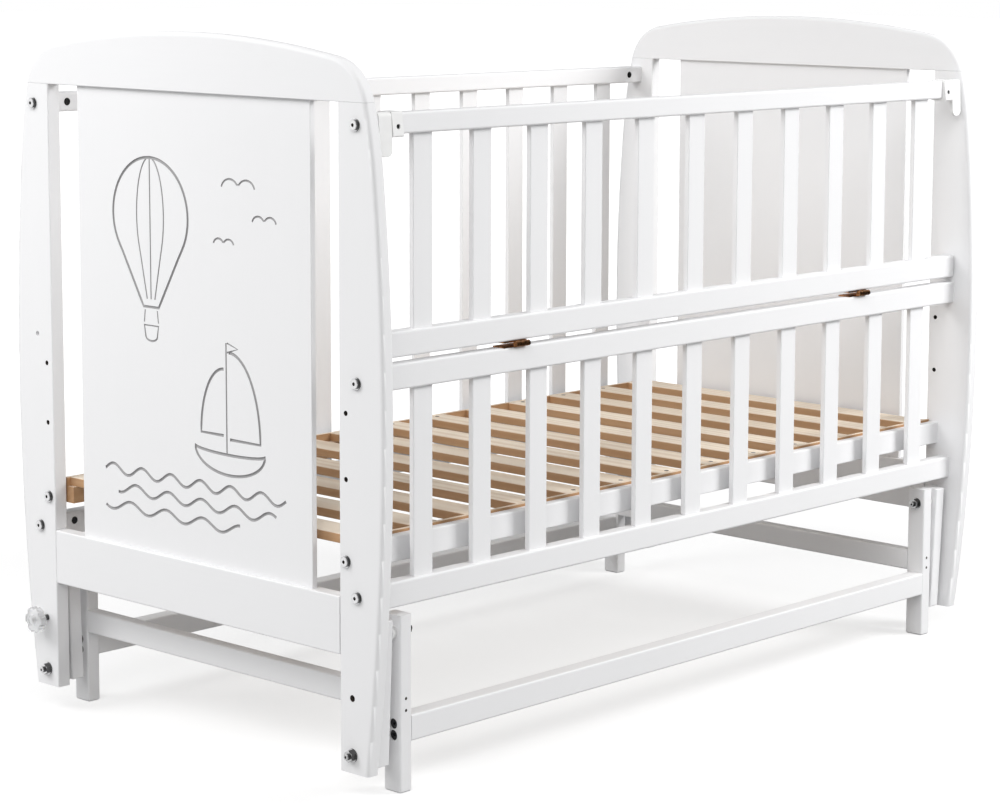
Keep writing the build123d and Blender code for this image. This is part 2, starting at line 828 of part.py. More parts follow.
def leg():
    """Short leg at +X, +Y with the link's upper pivot near its top."""
    body = block(leg_inner_x, leg_outer_x, leg_inner_y, leg_outer_y, 0, leg_h)
    body = fillet(body.edges().filter_by(Axis.Z), leg_edge_r)
    body = chamfer(body.faces().sort_by(Axis.Z)[0].edges(), foot_chamfer)
    body -= rod_x(leg_inner_x, leg_outer_x, upper_pivot_y, upper_pivot_z, pivot_hole_r)
    for z in stretcher_bolt_z:
        body -= rod_x(leg_inner_x, leg_outer_x, stretcher_bolt_y, z, bolt_hole_r)
        body -= rod_x(
            stretcher_seat_x, leg_outer_x, stretcher_bolt_y, z, bolt_head_r + fit_gap
        )
    for z in cross_screw_z:
        body -= rod_y(leg_inner_y, leg_outer_y, leg_middle_x, z, screw_r + screw_hole_gap)
    return body


def stretcher(sign_y):
    """Long stretcher between the legs of one side."""
    body = bar_x(
        -leg_inner_x, leg_inner_x,
        sign_y * (leg_outer_y - stretcher_t), sign_y * leg_outer_y,
        stretcher_z, stretcher_z + stretcher_h, leg_edge_r,
    )
    tip_x = stretcher_seat_x - stretcher_bolt_length
    for sign_x in (-1, 1):
        for z in stretcher_bolt_z:
            body -= rod_x(
                sign_x * leg_inner_x, sign_x * tip_x, sign_y * stretcher_bolt_y, z, bolt_hole_r
            )
    return body


def cross_rail():
    """Short rail at +X between the two legs of one end."""
    body = block(
        leg_inner_x, leg_outer_x, -leg_inner_y, leg_inner_y,
        cross_rail_z, cross_rail_z + cross_rail_h,
    )
    body = fillet(body.edges().filter_by(Axis.Y), leg_edge_r)
    tip_y = leg_outer_y - screw_length
    for sign_y in (-1, 1):
        for z in cross_screw_z:
            body -= rod_y(
                sign_y * leg_inner_y, sign_y * tip_y, leg_middle_x, z, screw_r + screw_hole_gap
            )
    return body


def stretcher_bolt(z):
    """Sunk socket bolt at +X, +Y through a leg into the stretcher's end."""
    seat_x = stretcher_seat_x
    face_x = seat_x + bolt_head_h
    shank = rod_x(seat_x - stretcher_bolt_length, seat_x, stretcher_bolt_y, z, bolt_r)
    head = rod_x(seat_x, face_x, stretcher_bolt_y, z, bolt_head_r)
    socket = rod_x(face_x - socket_depth, face_x, stretcher_bolt_y, z, socket_r)
    return shank + head - socket


def cross_screw(z):
    """Wood screw at +X, +Y through a leg into the cross rail's end, sunk below the face."""
    head_y = leg_outer_y - screw_r
    return rod_y(head_y - screw_length + screw_r, head_y, leg_middle_x, z, screw_r)


nodes["stretcher_bolts"] = group(
    mirrored(stretcher_bolt(z), sx, sy) for sx, sy in CORNERS for z in stretcher_bolt_z
)
nodes["cross_rail_screws"] = group(
    mirrored(cross_screw(z), sx, sy) for sx, sy in CORNERS for z in cross_screw_z
)
for sign_x, sign_y in CORNERS:
    nodes[f"leg_{row_name(sign_y)}_{side_name(sign_x)}"] = mirrored(leg(), sign_x, sign_y)
for sign_x in (-1, 1):
    nodes[f"cross_rail_{side_name(sign_x)}"] = mirrored(cross_rail(), sign_x, 1)
for sign_y in (-1, 1):
    nodes[f"stretcher_{row_name(sign_y)}"] = stretcher(sign_y)


# Swing links and their pivots


def link(lower_slack):
    """Link at +X, +Y from the leg's pivot down and slightly inwards to the post's pivot."""
    run = upper_pivot_y - lower_pivot_y
    drop = upper_pivot_z - lower_pivot_z
    pitch = hypot(run, drop)
    body = block(
        link_inner_x, link_outer_x, -link_w / 2, link_w / 2, -pitch - link_end, link_end
    )
    body = fillet(body.edges().filter_by(Axis.Z), leg_edge_r)
    ends = body.faces().filter_by(Axis.Z).edges()
    body = chamfer(ends, soft_edge_r / 2)
    body -= rod_x(link_inner_x, link_outer_x, 0, 0, pivot_r + running_gap)
    body -= rod_x(link_inner_x, link_outer_x, 0, -pitch, pivot_r + lower_slack)
    lean = degrees(atan2(run, drop))
    body = Pos(0, upper_pivot_y, upper_pivot_z) * Rot(-lean, 0, 0) * body
    return body - rod_x(link_inner_x, link_outer_x, lower_pivot_y, lock_hole_z, lock_hole_r)


def pivot_nut(x0, y, z, direction):
    """Hexagon nut on a face at x0, its free end pointing along X in the given direction."""
    hexagon = RegularPolygon(nut_flats / 2, 6, major_radius=False)
    blank = Cylinder(
        hexagon.radius, nut_h, align=(Align.CENTER, Align.CENTER, Align.MIN)
    )
    blank = chamfer(blank.edges().filter_by(GeomType.CIRCLE).sort_by(Axis.Z)[-1], nut_chamfer)
    body = extrude(hexagon, nut_h) & blank
    body -= Cylinder(
        pivot_r + thread_gap, nut_h, align=(Align.CENTER, Align.CENTER, Align.MIN)
    )
    return Pos(x0, y, z) * Rot(0, 90 * direction, 0) * body


def pivot_shank(head_x, nut_x, y, z):
    """Shank of a pivot bolt from its head through a nut on a face at nut_x, hollow at its end."""
    outward = 1 if nut_x > head_x else -1
    end_x = nut_x + outward * (nut_h + bolt_end_reach)
    shank = rod_x(head_x, end_x, y, z, pivot_r)
    rim = shank.edges().filter_by(GeomType.CIRCLE).sort_by(Axis.X)[-1 if outward > 0 else 0]
    shank = chamfer(rim, nut_chamfer)
    recess_x = end_x - outward * bolt_end_recess_depth
    return shank - rod_x(recess_x, end_x, y, z, bolt_end_recess_r)


def upper_bolt():
    """Pivot bolt at +X, +Y through link, bush and leg, head on the link's outer face."""
    head_x = link_outer_x + side_play
    nut_x = leg_inner_x - pivot_washer_t
    shank = pivot_shank(head_x, nut_x, upper_pivot_y, upper_pivot_z)
    head = rod_x(head_x, head_x + pivot_head_h, upper_pivot_y, upper_pivot_z, pivot_head_r)
    rim = head.edges().filter_by(GeomType.CIRCLE).sort_by(Axis.X)[-1]
    return shank + fillet(rim, pivot_head_h / 3)


def upper_bush():
    """Plastic bush between leg and link, stepped down towards the link."""
    flange_end = leg_outer_x + upper_bush_t / 2
    bush = rod_x(leg_outer_x, flange_end, upper_pivot_y, upper_pivot_z, bush_r)
    bush += rod_x(
        flange_end, link_inner_x - side_play, upper_pivot_y, upper_pivot_z, bush_neck_r
    )
    return bush - rod_x(leg_outer_x, link_inner_x, upper_pivot_y, upper_pivot_z, pivot_hole_r)


def upper_nut():
    """Washer and nut on the leg's inner face."""
    face = leg_inner_x - pivot_washer_t
    washer = ring_x(
        face, leg_inner_x, upper_pivot_y, upper_pivot_z, pivot_washer_r, pivot_hole_r
    )
    return [washer, pivot_nut(face, upper_pivot_y, upper_pivot_z, -1)]


def lower_bolt():
    """Pivot bolt at +X, +Y through link, bush and post, head on the link's inner face."""
    head_x = link_inner_x - side_play
    nut_x = outer_x + pivot_washer_t
    shank = pivot_shank(head_x, nut_x, lower_pivot_y, lower_pivot_z)
    head = rod_x(head_x - pivot_head_h, head_x, lower_pivot_y, lower_pivot_z, pivot_head_r)
    rim = head.edges().filter_by(GeomType.CIRCLE).sort_by(Axis.X)[0]
    return shank + fillet(rim, pivot_head_h / 3)


def lower_bush():
    """Plastic bush between link and post."""
    return ring_x(
        link_outer_x + side_play, inner_x, lower_pivot_y, lower_pivot_z,
        lower_bush_r, pivot_hole_r,
    )


def lower_nut():
    """Washer and nut on the post's outer face."""
    face = outer_x + pivot_washer_t
    washer = ring_x(
        outer_x, face, lower_pivot_y, lower_pivot_z, pivot_washer_r, pivot_hole_r
    )
    return [washer, pivot_nut(face, lower_pivot_y, lower_pivot_z, 1)]


for sign_x, sign_y in CORNERS:
    carries_cot = (sign_x, sign_y) == (-1, -1)
    slack = running_gap if carries_cot else open_pivot_slack
    name = f"link_{row_name(sign_y)}_{side_name(sign_x)}"
    nodes[name] = mirrored(link(slack), sign_x, sign_y)
nodes["upper_pivot_bolts"] = group(mirrored(upper_bolt(), sx, sy) for sx, sy in CORNERS)
nodes["upper_pivot_bushes"] = group(mirrored(upper_bush(), sx, sy) for sx, sy in CORNERS)
nodes["upper_pivot_nuts"] = group(
    mirrored(piece, sx, sy) for sx, sy in CORNERS for piece in upper_nut()
)
nodes["lower_pivot_bolts"] = group(mirrored(lower_bolt(), sx, sy) for sx, sy in CORNERS)
nodes["lower_pivot_bushes"] = group(mirrored(lower_bush(), sx, sy) for sx, sy in CORNERS)
nodes["lower_pivot_nuts"] = group(
    mirrored(piece, sx, sy) for sx, sy in CORNERS for piece in lower_nut()
)


# Lock knobs


knob_hub_x = outer_x + knob_stand_off
stud_end_x = knob_hub_x + knob_hub_t + stud_bite


def knob_head():
    """Scalloped clear knob at +X, +Y on its hub, bored for the stud."""
    grip = Cylinder(knob_r, knob_t, align=(Align.CENTER, Align.CENTER, Align.MIN))
    for place in PolarLocations(knob_r + knob_scallop_r / 2, knob_lobes):
        grip -= place * Cylinder(
            knob_scallop_r, knob_t, align=(Align.CENTER, Align.CENTER, Align.MIN)
        )
    grip = fillet(grip.faces().filter_by(Axis.Z).edges(), knob_edge_r)
    grip += Pos(0, 0, knob_t) * Cylinder(
        knob_boss_r, knob_boss_h, align=(Align.CENTER, Align.CENTER, Align.MIN)
    )
    grip -= Pos(0, 0, knob_t + knob_boss_h) * Cylinder(
        knob_dish_r, knob_dish_depth, align=(Align.CENTER, Align.CENTER, Align.MAX)
    )
    grip_x = knob_hub_x + knob_hub_t
    grip = Pos(grip_x, lower_pivot_y, lock_hole_z) * Rot(0, 90, 0) * grip
    hub = rod_x(knob_hub_x, grip_x, lower_pivot_y, lock_hole_z, knob_hub_r)
    bore = rod_x(knob_hub_x, stud_end_x, lower_pivot_y, lock_hole_z, stud_r + thread_gap)
    return grip + hub - bore


def knob_stud():
    """Threaded stud at +X, +Y from the knob into the post's lock hole."""
    tip_x = inner_x + stud_tip_inset
    stud = rod_x(tip_x, stud_end_x, lower_pivot_y, lock_hole_z, stud_r)
    tip = stud.edges().filter_by(GeomType.CIRCLE).sort_by(Axis.X)[0]
    return chamfer(tip, stud_r / 4)


for sign_x in (-1, 1):
    nodes[f"lock_knob_{side_name(sign_x)}"] = mirrored(knob_head(), sign_x, 1)
    nodes[f"lock_stud_{side_name(sign_x)}"] = mirrored(knob_stud(), sign_x, 1)


os.makedirs("parts", exist_ok=True)
for name, shape in nodes.items():
    export_step(shape, f"parts/{name}.step")
print(len(nodes), "nodes written")
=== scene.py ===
"""Finishes, routed end panel, small hardware, light and camera for a cot that hangs on four links.

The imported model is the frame: its nodes keep their shapes and places, and get their finishes here.
Everything is in metres, with X along the mattress, Y across it and Z up from the floor.
"""

import logging
import math
from dataclasses import dataclass, field
from enum import Enum
from typing import Callable, Iterable, Optional, Union

import bmesh
import bpy
from mathutils import Matrix, Vector


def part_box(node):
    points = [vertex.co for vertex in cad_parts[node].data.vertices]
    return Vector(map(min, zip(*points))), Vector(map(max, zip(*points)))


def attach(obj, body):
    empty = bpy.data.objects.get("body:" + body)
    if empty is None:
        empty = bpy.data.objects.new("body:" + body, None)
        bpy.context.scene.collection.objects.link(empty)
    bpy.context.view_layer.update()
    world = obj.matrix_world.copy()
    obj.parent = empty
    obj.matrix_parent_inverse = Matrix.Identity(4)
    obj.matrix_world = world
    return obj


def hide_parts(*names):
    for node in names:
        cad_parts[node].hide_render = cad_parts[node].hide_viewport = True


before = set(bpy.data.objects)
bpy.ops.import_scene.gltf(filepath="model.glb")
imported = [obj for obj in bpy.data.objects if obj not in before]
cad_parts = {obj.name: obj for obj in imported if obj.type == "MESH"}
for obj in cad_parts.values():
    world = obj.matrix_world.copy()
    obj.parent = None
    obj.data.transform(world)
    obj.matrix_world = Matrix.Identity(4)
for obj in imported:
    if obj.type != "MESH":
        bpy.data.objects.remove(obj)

log = logging.getLogger("cot")
MM = 0.001
PHOTO_WIDTH = 1000.0
PHOTO_HEIGHT = 808.0
WAVE_POINTS = 14

Point = tuple[float, float]
Triple = tuple[float, float, float]
Number = Union[float, "Signal"]


class Grain(Enum):
    """Direction in which a wooden piece's fibres run."""

    ALONG_X = 0
    ALONG_Y = 1
    ALONG_Z = 2

    def stretch(self, along: float, across: float) -> Triple:
        """Gives a pattern's scale on the three axes.

        Args:
            along: scale along the fibres.
            across: scale across them.

        Returns:
            The scale for a Mapping node.
        """
        scale = [across, across, across]
        scale[self.value] = along
        return (scale[0], scale[1], scale[2])


@dataclass(frozen=True)
class Signal:
    """A value inside a node tree that Python can calculate with."""

    tree: "Tree"
    socket: bpy.types.NodeSocket

    def _maths(self, operation: str, first: Number, second: Number = 0.0) -> "Signal":
        """Adds one Math node and returns its result."""
        node = self.tree.node(
            self.tree.maths_kind, {"operation": operation}, {0: first, 1: second}
        )
        return Signal(self.tree, node.outputs[0])

    def __add__(self, other: Number) -> "Signal":
        """Sum."""
        return self._maths("ADD", self, other)

    __radd__ = __add__

    def __sub__(self, other: Number) -> "Signal":
        """Difference."""
        return self._maths("SUBTRACT", self, other)

    def __rsub__(self, other: Number) -> "Signal":
        """Difference, the other way round."""
        return self._maths("SUBTRACT", other, self)

    def __mul__(self, other: Number) -> "Signal":
        """Product."""
        return self._maths("MULTIPLY", self, other)

    __rmul__ = __mul__

    def __truediv__(self, other: Number) -> "Signal":
        """Quotient."""
        return self._maths("DIVIDE", self, other)

    def __pow__(self, other: Number) -> "Signal":
        """Power."""
        return self._maths("POWER", self, other)

    def floor(self) -> "Signal":
        """Largest whole number below."""
        return self._maths("FLOOR", self)

    def at_most_one(self) -> "Signal":
        """Held between 0 and 1."""
        return self._maths("MINIMUM", self._maths("MAXIMUM", self, 0.0), 1.0)


class Tree:
    """A node tree with one way to add nodes."""

    def __init__(self, tree: bpy.types.NodeTree) -> None:
        """Takes the tree to work in."""
        self.tree = tree
        self.maths_kind = "ShaderNodeMath"

    def node(
        self, kind: str, settings: Optional[dict] = None, inputs: Optional[dict] = None
    ) -> bpy.types.Node:
        """Adds a node.

        Args:
            kind: the node's type.
            settings: its properties, or "stops" for a ramp's positions and colours.
            inputs: values or links, by socket name or number.

        Returns:
            The new node.
        """
        made = self.tree.nodes.new(kind)
        for name, value in (settings or {}).items():
            if name == "stops":
                self._set_stops(made.color_ramp, value)
            else:
                setattr(made, name, value)
        for name, value in (inputs or {}).items():
            self.feed(made.inputs[name], value)
        return made

    def feed(self, socket: bpy.types.NodeSocket, value: object) -> None:
        """Links a signal or a socket to an input, or sets its value.

        Args:
            socket: the input.
            value: a signal, an output socket or a plain value.
        """
        if isinstance(value, Signal):
            self.tree.links.new(value.socket, socket)
        elif isinstance(value, bpy.types.NodeSocket):
            self.tree.links.new(value, socket)
        else:
            socket.default_value = value

    @staticmethod
    def _set_stops(ramp: bpy.types.ColorRamp, stops: list[tuple]) -> None:
        """Sets a ramp's stops, given as position and colour."""
        while len(ramp.elements) > 1:
            ramp.elements.remove(ramp.elements[-1])
        ramp.elements[0].position = stops[0][0]
        ramp.elements[0].color = stops[0][1]
        for position, colour in stops[1:]:
            ramp.elements.new(position).color = colour

    def place(self, scale: Triple) -> bpy.types.NodeSocket:
        """Coordinates on the object, scaled on each axis.

        Args:
            scale: the scale on X, Y and Z.

        Returns:
            The scaled coordinates.
        """
        coordinates = self.node("ShaderNodeTexCoord")
        mapping = self.node(
            "ShaderNodeMapping", None, {"Vector": coordinates.outputs["Object"], "Scale": scale}
        )
        return mapping.outputs["Vector"]

    def noise(
        self, vector: bpy.types.NodeSocket, scale: float, detail: float = 2.0, rough: float = 0.5
    ) -> Signal:
        """Soft noise between 0 and 1.

        Args:
            vector: the coordinates.
            scale: the noise's scale on them.
            detail: number of finer layers.
            rough: weight of the finer layers.

        Returns:
            The noise.
        """
        made = self.node(
            "ShaderNodeTexNoise", None,
            {"Vector": vector, "Scale": scale, "Detail": detail, "Roughness": rough},
        )
        return Signal(self, made.outputs[0])

    def between(self, factor: Number, low: tuple, high: tuple) -> bpy.types.NodeSocket:
        """Colour between two colours.

        Args:
            factor: 0 for the first colour, 1 for the second.
            low: the first colour.
            high: the second colour.

        Returns:
            The mixed colour.
        """
        made = self.node(
            "ShaderNodeMix", {"data_type": "RGBA"}, {0: factor, 6: low, 7: high}
        )
        return made.outputs[2]

    def bump(
        self, height: Number, distance: float, strength: float,
        under: Optional[bpy.types.NodeSocket] = None,
    ) -> bpy.types.NodeSocket:
        """Surface normal raised by a height.

        Args:
            height: the height, from 0 to 1.
            distance: what a height of 1 stands for, in metres.
            strength: share of the bump that is used.
            under: a normal that this one comes on top of.

        Returns:
            The normal.
        """
        inputs = {"Height": height, "Distance": distance, "Strength": strength}
        if under is not None:
            inputs["Normal"] = under
        return self.node("ShaderNodeBump", None, inputs).outputs[0]

    def reach(self, vector: bpy.types.NodeSocket, direction: Triple) -> Signal:
        """How far a vector reaches in a direction.

        Args:
            vector: the vector.
            direction: the direction.

        Returns:
            Their dot product.
        """
        made = self.node(
            "ShaderNodeVectorMath", {"operation": "DOT_PRODUCT"}, {0: vector, 1: direction}
        )
        return Signal(self, made.outputs["Value"])


def rgba(colour: Triple) -> tuple[float, float, float, float]:
    """Colour with full opacity."""
    return (*colour, 1.0)


def shaded(colour: Triple, factor: float) -> tuple[float, float, float, float]:
    """Makes a colour lighter or darker.

    Args:
        colour: the colour.
        factor: what its parts are multiplied by.

    Returns:
        The new colour, with full opacity.
    """
    return rgba(tuple(part * factor for part in colour))


@dataclass(frozen=True)
class Finish:
    """What the surface of a piece is made of."""

    name: str
    colour: Triple
    roughness: float

    def material(self) -> bpy.types.Material:
        """Makes the material once and returns it.

        Returns:
            The material of that name.
        """
        made = bpy.data.materials.get(self.name)
        if made is None:
            made = bpy.data.materials.new(self.name)
            made.use_nodes = True
            made.diffuse_color = rgba(self.colour)
            tree = Tree(made.node_tree)
            made.node_tree.nodes.clear()
            shader = tree.node(
                "ShaderNodeBsdfPrincipled", None,
                {"Base Color": rgba(self.colour), "Roughness": self.roughness},
            )
            tree.node("ShaderNodeOutputMaterial", None, {"Surface": shader.outputs[0]})
            self.dress(tree, shader)
        return made

    def dress(self, tree: Tree, shader: bpy.types.Node) -> None:
        """Adds the surface's detail to its shader: dull, with a slightly broken tone."""
        clouds = tree.noise(tree.place((1.0, 1.0, 1.0)), 600.0, 2.0)
        tree.feed(
            shader.inputs["Base Color"],
            tree.between(clouds, shaded(self.colour, 0.7), shaded(self.colour, 1.3)),
        )


@dataclass(frozen=True)
class Paint(Finish):
    """Sprayed satin enamel on wood, with the fibres just felt through it."""

    grain: Grain = Grain.ALONG_X
    fibre_depth: float = 0.00006
    peel_depth: float = 0.00002

    def dress(self, tree: Tree, shader: bpy.types.Node) -> None:
        """Adds the raised fibres, the sprayed skin and slight changes of tone and gloss."""
        flat = tree.place((1.0, 1.0, 1.0))
        fibres = tree.noise(tree.place(self.grain.stretch(7.0, 260.0)), 1.0, 3.0, 0.6)
        clouds = tree.noise(flat, 5.0, 3.0)
        peel = tree.noise(flat, 420.0, 1.0)
        tone = (0.7 * clouds + 0.3 * fibres).at_most_one()
        tree.feed(
            shader.inputs["Base Color"],
            tree.between(tone, shaded(self.colour, 0.975), shaded(self.colour, 1.015)),
        )
        tree.feed(shader.inputs["Roughness"], self.roughness - 0.05 + 0.1 * clouds + 0.04 * peel)
        skin = tree.bump(peel, self.peel_depth, 0.35)
        tree.feed(shader.inputs["Normal"], tree.bump(fibres, self.fibre_depth, 0.5, skin))
        tree.feed(shader.inputs["IOR"], 1.48)


@dataclass(frozen=True)
class BareWood(Finish):
    """Sanded pale softwood: growth rings drawn out along the piece, each board its own tone."""

    grain: Grain = Grain.ALONG_Y
    board_width: float = 0.0953
    board_start: float = 0.0
    ring_colour: Triple = (0.6, 0.4, 0.24)
    side_shade_colour: Triple = (0.5, 0.29, 0.15)

    def dress(self, tree: Tree, shader: bpy.types.Node) -> None:
        """Adds the rings, pores, board tones, a slightly raised grain and painted shade on faces
        that look sideways, which are darker than the tops.
        """
        flat = tree.place((1.0, 1.0, 1.0))
        along = Signal(
            tree, tree.node("ShaderNodeSeparateXYZ", None, {0: flat}).outputs[0]
        )
        board = ((along - self.board_start) / self.board_width).floor()
        toss = tree.node("ShaderNodeTexWhiteNoise", {"noise_dimensions": "1D"}, {"W": board})
        luck = Signal(tree, toss.outputs["Value"])
        drawn = tree.place(self.grain.stretch(1.6, 30.0))
        shift = tree.node(
            "ShaderNodeVectorMath", {"operation": "ADD"}, {0: drawn, 1: (luck * 37.0)}
        )
        shifted = shift.outputs[0]
        rings = tree.node(
            "ShaderNodeTexWave",
            {"wave_type": "RINGS", "rings_direction": "XYZ"[self.grain.value]},
            {"Vector": shifted, "Scale": 1.1, "Distortion": 5.0, "Detail": 3.0,
             "Detail Scale": 0.7, "Detail Roughness": 0.6},
        )
        ring = Signal(tree, rings.outputs["Fac"]) ** 1.8
        pores = tree.noise(tree.place(self.grain.stretch(25.0, 1400.0)), 1.0, 2.0)
        streak = tree.noise(shifted, 0.6, 3.0, 0.6)
        dark = (0.3 * ring + 0.14 * pores + 0.2 * streak - 0.12).at_most_one()
        # Painted shade: faces that look sideways get a darker brown than the upward faces.
        facing = tree.node("ShaderNodeTexCoord").outputs["Normal"]
        upward = Signal(
            tree, tree.node("ShaderNodeSeparateXYZ", None, {0: facing}).outputs[2]
        )
        top_light_share = (upward * upward * 1.6 - 0.3).at_most_one()
        face = tree.between(top_light_share, rgba(self.side_shade_colour), rgba(self.colour))
        wood = tree.between(dark, face, rgba(self.ring_colour))
        tone = tree.between(luck, (0.9, 0.88, 0.86, 1.0), (1.0, 1.0, 1.0, 1.0))
        mixed = tree.node(
            "ShaderNodeMix", {"data_type": "RGBA", "blend_type": "MULTIPLY"},
            {0: 1.0, 6: wood, 7: tone},
        )
        tree.feed(shader.inputs["Base Color"], mixed.outputs[2])
        tree.feed(shader.inputs["Roughness"], self.roughness + 0.1 * ring)
        tree.feed(shader.inputs["Normal"], tree.bump(ring + 0.6 * pores, 0.00012, 0.5))


@dataclass(frozen=True)
class Metal(Finish):
    """Plated or bare metal with a fine worked skin and duller patches.

    The side shade share is painted shade: the tone of faces that look sideways, as a share of the
    tone of those that look along X.
    """

    patch_colour: Triple = (0.3, 0.3, 0.31)
    patchiness: float = 0.3
    side_shade_share: float = 1.0

    def dress(self, tree: Tree, shader: bpy.types.Node) -> None:
        """Adds the patches, the change of gloss, a fine skin and the painted shade on sideways
        faces.
        """
        flat = tree.place((1.0, 1.0, 1.0))
        patches = tree.noise(flat, 260.0, 3.0, 0.65)
        skin = tree.noise(flat, 2600.0, 2.0)
        dull = (patches * patches * (2.2 * self.patchiness)).at_most_one()
        colour = tree.between(dull, rgba(self.colour), rgba(self.patch_colour))
        # Painted shade: faces that do not look along X are darkened towards the side shade share of
        # the colour.
        if self.side_shade_share < 1.0:
            facing = tree.node("ShaderNodeTexCoord").outputs["Normal"]
            turned = tree.reach(facing, (1.0, 0.0, 0.0))
            ends = (turned * turned * 1.6).at_most_one()
            colour = tree.between(ends, shaded(self.colour, self.side_shade_share), colour)
        tree.feed(shader.inputs["Base Color"], colour)
        shader.inputs["Metallic"].default_value = 1.0
        tree.feed(shader.inputs["Roughness"], self.roughness + 0.25 * dull + 0.06 * skin)
        tree.feed(shader.inputs["Normal"], tree.bump(skin, 0.00001, 0.4))


@dataclass(frozen=True)
class MouldedPlastic(Finish):
    """Opaque moulded plastic with a fine spark-eroded texture."""

    def dress(self, tree: Tree, shader: bpy.types.Node) -> None:
        """Adds the mould's texture and slight flow marks."""
        flat = tree.place((1.0, 1.0, 1.0))
        texture = tree.noise(flat, 3200.0, 1.0)
        flow = tree.noise(tree.place((40.0, 40.0, 120.0)), 1.0, 2.0)
        tree.feed(
            shader.inputs["Base Color"],
            tree.between(flow, shaded(self.colour, 0.97), shaded(self.colour, 1.02)),
        )
        tree.feed(shader.inputs["Roughness"], self.roughness + 0.1 * flow + 0.05 * texture)
        tree.feed(shader.inputs["Normal"], tree.bump(texture, 0.00001, 0.3))


@dataclass(frozen=True)
class ClearPlastic(Finish):
    """Clear moulded plastic, slightly hazy."""

    def dress(self, tree: Tree, shader: bpy.types.Node) -> None:
        """Adds transmission, flow marks and haze."""
        flow = tree.noise(tree.place((60.0, 60.0, 60.0)), 1.0, 2.0)
        shader.inputs["Transmission Weight"].default_value = 0.72
        shader.inputs["IOR"].default_value = 1.49
        tree.feed(
            shader.inputs["Base Color"],
            tree.between(flow, shaded(self.colour, 0.96), shaded(self.colour, 1.0)),
        )
        tree.feed(shader.inputs["Roughness"], self.roughness + 0.08 * flow)
        tree.feed(shader.inputs["Normal"], tree.bump(flow, 0.0002, 0.3))


WHITE = (0.86, 0.86, 0.868)
PAINT_X = Paint("white_paint_along_x", WHITE, 0.38, Grain.ALONG_X)
PAINT_Y = Paint("white_paint_along_y", WHITE, 0.38, Grain.ALONG_Y)
PAINT_Z = Paint("white_paint_along_z", WHITE, 0.38, Grain.ALONG_Z)
# The grooves are white paint like the panel; this dark grey is painted shade for their insides.
GROOVE_SHADE_PAINT = Paint("painted_shade_in_grooves", (0.36, 0.355, 0.36), 0.55, Grain.ALONG_Z)
PINE = (0.95, 0.84, 0.7)
PINE_SLATS = BareWood("bare_pine_slats", PINE, 0.58, Grain.ALONG_Y, board_start=-0.048)
PINE_BATTENS = BareWood(
    "bare_pine_battens", shaded(PINE, 0.97)[:3], 0.6, Grain.ALONG_X,
    board_width=3.0, board_start=-1.5,
)
# Plated steel whose faces that look sideways are darkened to 0.12 of its colour: painted shade.
ZINC = Metal("zinc_plated_steel", (0.82, 0.82, 0.83), 0.13, (0.5, 0.5, 0.51), 0.3, 0.12)
BRASS = Metal("dark_brass", (1.0, 0.5, 0.22), 0.45, (0.015, 0.012, 0.01), 0.9)
# Near black: painted shade for the insides of bores, sockets and holes.
BORE_SHADE = Finish("painted_bore_shade", (0.05, 0.04, 0.035), 0.9)
BLACK_STEEL = Metal("blackened_steel", (0.05, 0.05, 0.055), 0.4, (0.12, 0.12, 0.12), 0.4)
WHITE_PLASTIC = MouldedPlastic("white_moulded_plastic", (0.87, 0.87, 0.865), 0.28)
CLEAR_PLASTIC = ClearPlastic("clear_moulded_plastic", (0.97, 0.975, 0.98), 0.12)


def finish_of(node: str) -> Finish:
    """Chooses the finish of a node of the frame.

    Args:
        node: the node's name.

    Returns:
        Its finish.
    """
    by_start = {
        "bed_slats": PINE_SLATS, "bed_batten": PINE_BATTENS, "end_dowels": PINE_BATTENS,
        "hinge_": BRASS, "latch_screws": BLACK_STEEL, "latch_pins": ZINC,
        "latch_catches": ZINC, "latch_": WHITE_PLASTIC, "upper_pivot_bushes": WHITE_PLASTIC,
        "lower_pivot_bushes": WHITE_PLASTIC, "lock_knob": CLEAR_PLASTIC, "lock_stud": ZINC,
        "frame_": ZINC, "barrel_": ZINC, "stretcher_bolts": BLACK_STEEL,
        "cross_rail_screws": BLACK_STEEL, "upper_pivot": ZINC, "lower_pivot": ZINC,
        "post_": PAINT_Z, "end_panel": PAINT_Z, "leg_": PAINT_Z, "link_": PAINT_Z,
        "far_slats": PAINT_Z, "near_lower_slats": PAINT_Z, "drop_slats": PAINT_Z,
        "end_cap": PAINT_Y, "end_board": PAINT_Y, "cross_rail": PAINT_Y,
    }
    for start, finish in by_start.items():
        if node.startswith(start):
            return finish
    return PAINT_X


def new_object(name: str, data: bpy.types.ID) -> bpy.types.Object:
    """Puts data in a new object at the origin.

    Args:
        name: the object's name.
        data: its mesh, curve, lamp or camera.

    Returns:
        The object.
    """
    made = bpy.data.objects.new(name, data)
    bpy.context.scene.collection.objects.link(made)
    return made


def settled(source: bpy.types.Object, name: str) -> bpy.types.Object:
    """Turns an object with modifiers into a plain mesh object and removes the source.

    Args:
        source: the object whose result is kept.
        name: the new object's name.

    Returns:
        The plain object.
    """
    depsgraph = bpy.context.evaluated_depsgraph_get()
    mesh = bpy.data.meshes.new_from_object(source.evaluated_get(depsgraph), depsgraph=depsgraph)
    mesh.name = name
    bpy.data.objects.remove(source)
    return new_object(name, mesh)


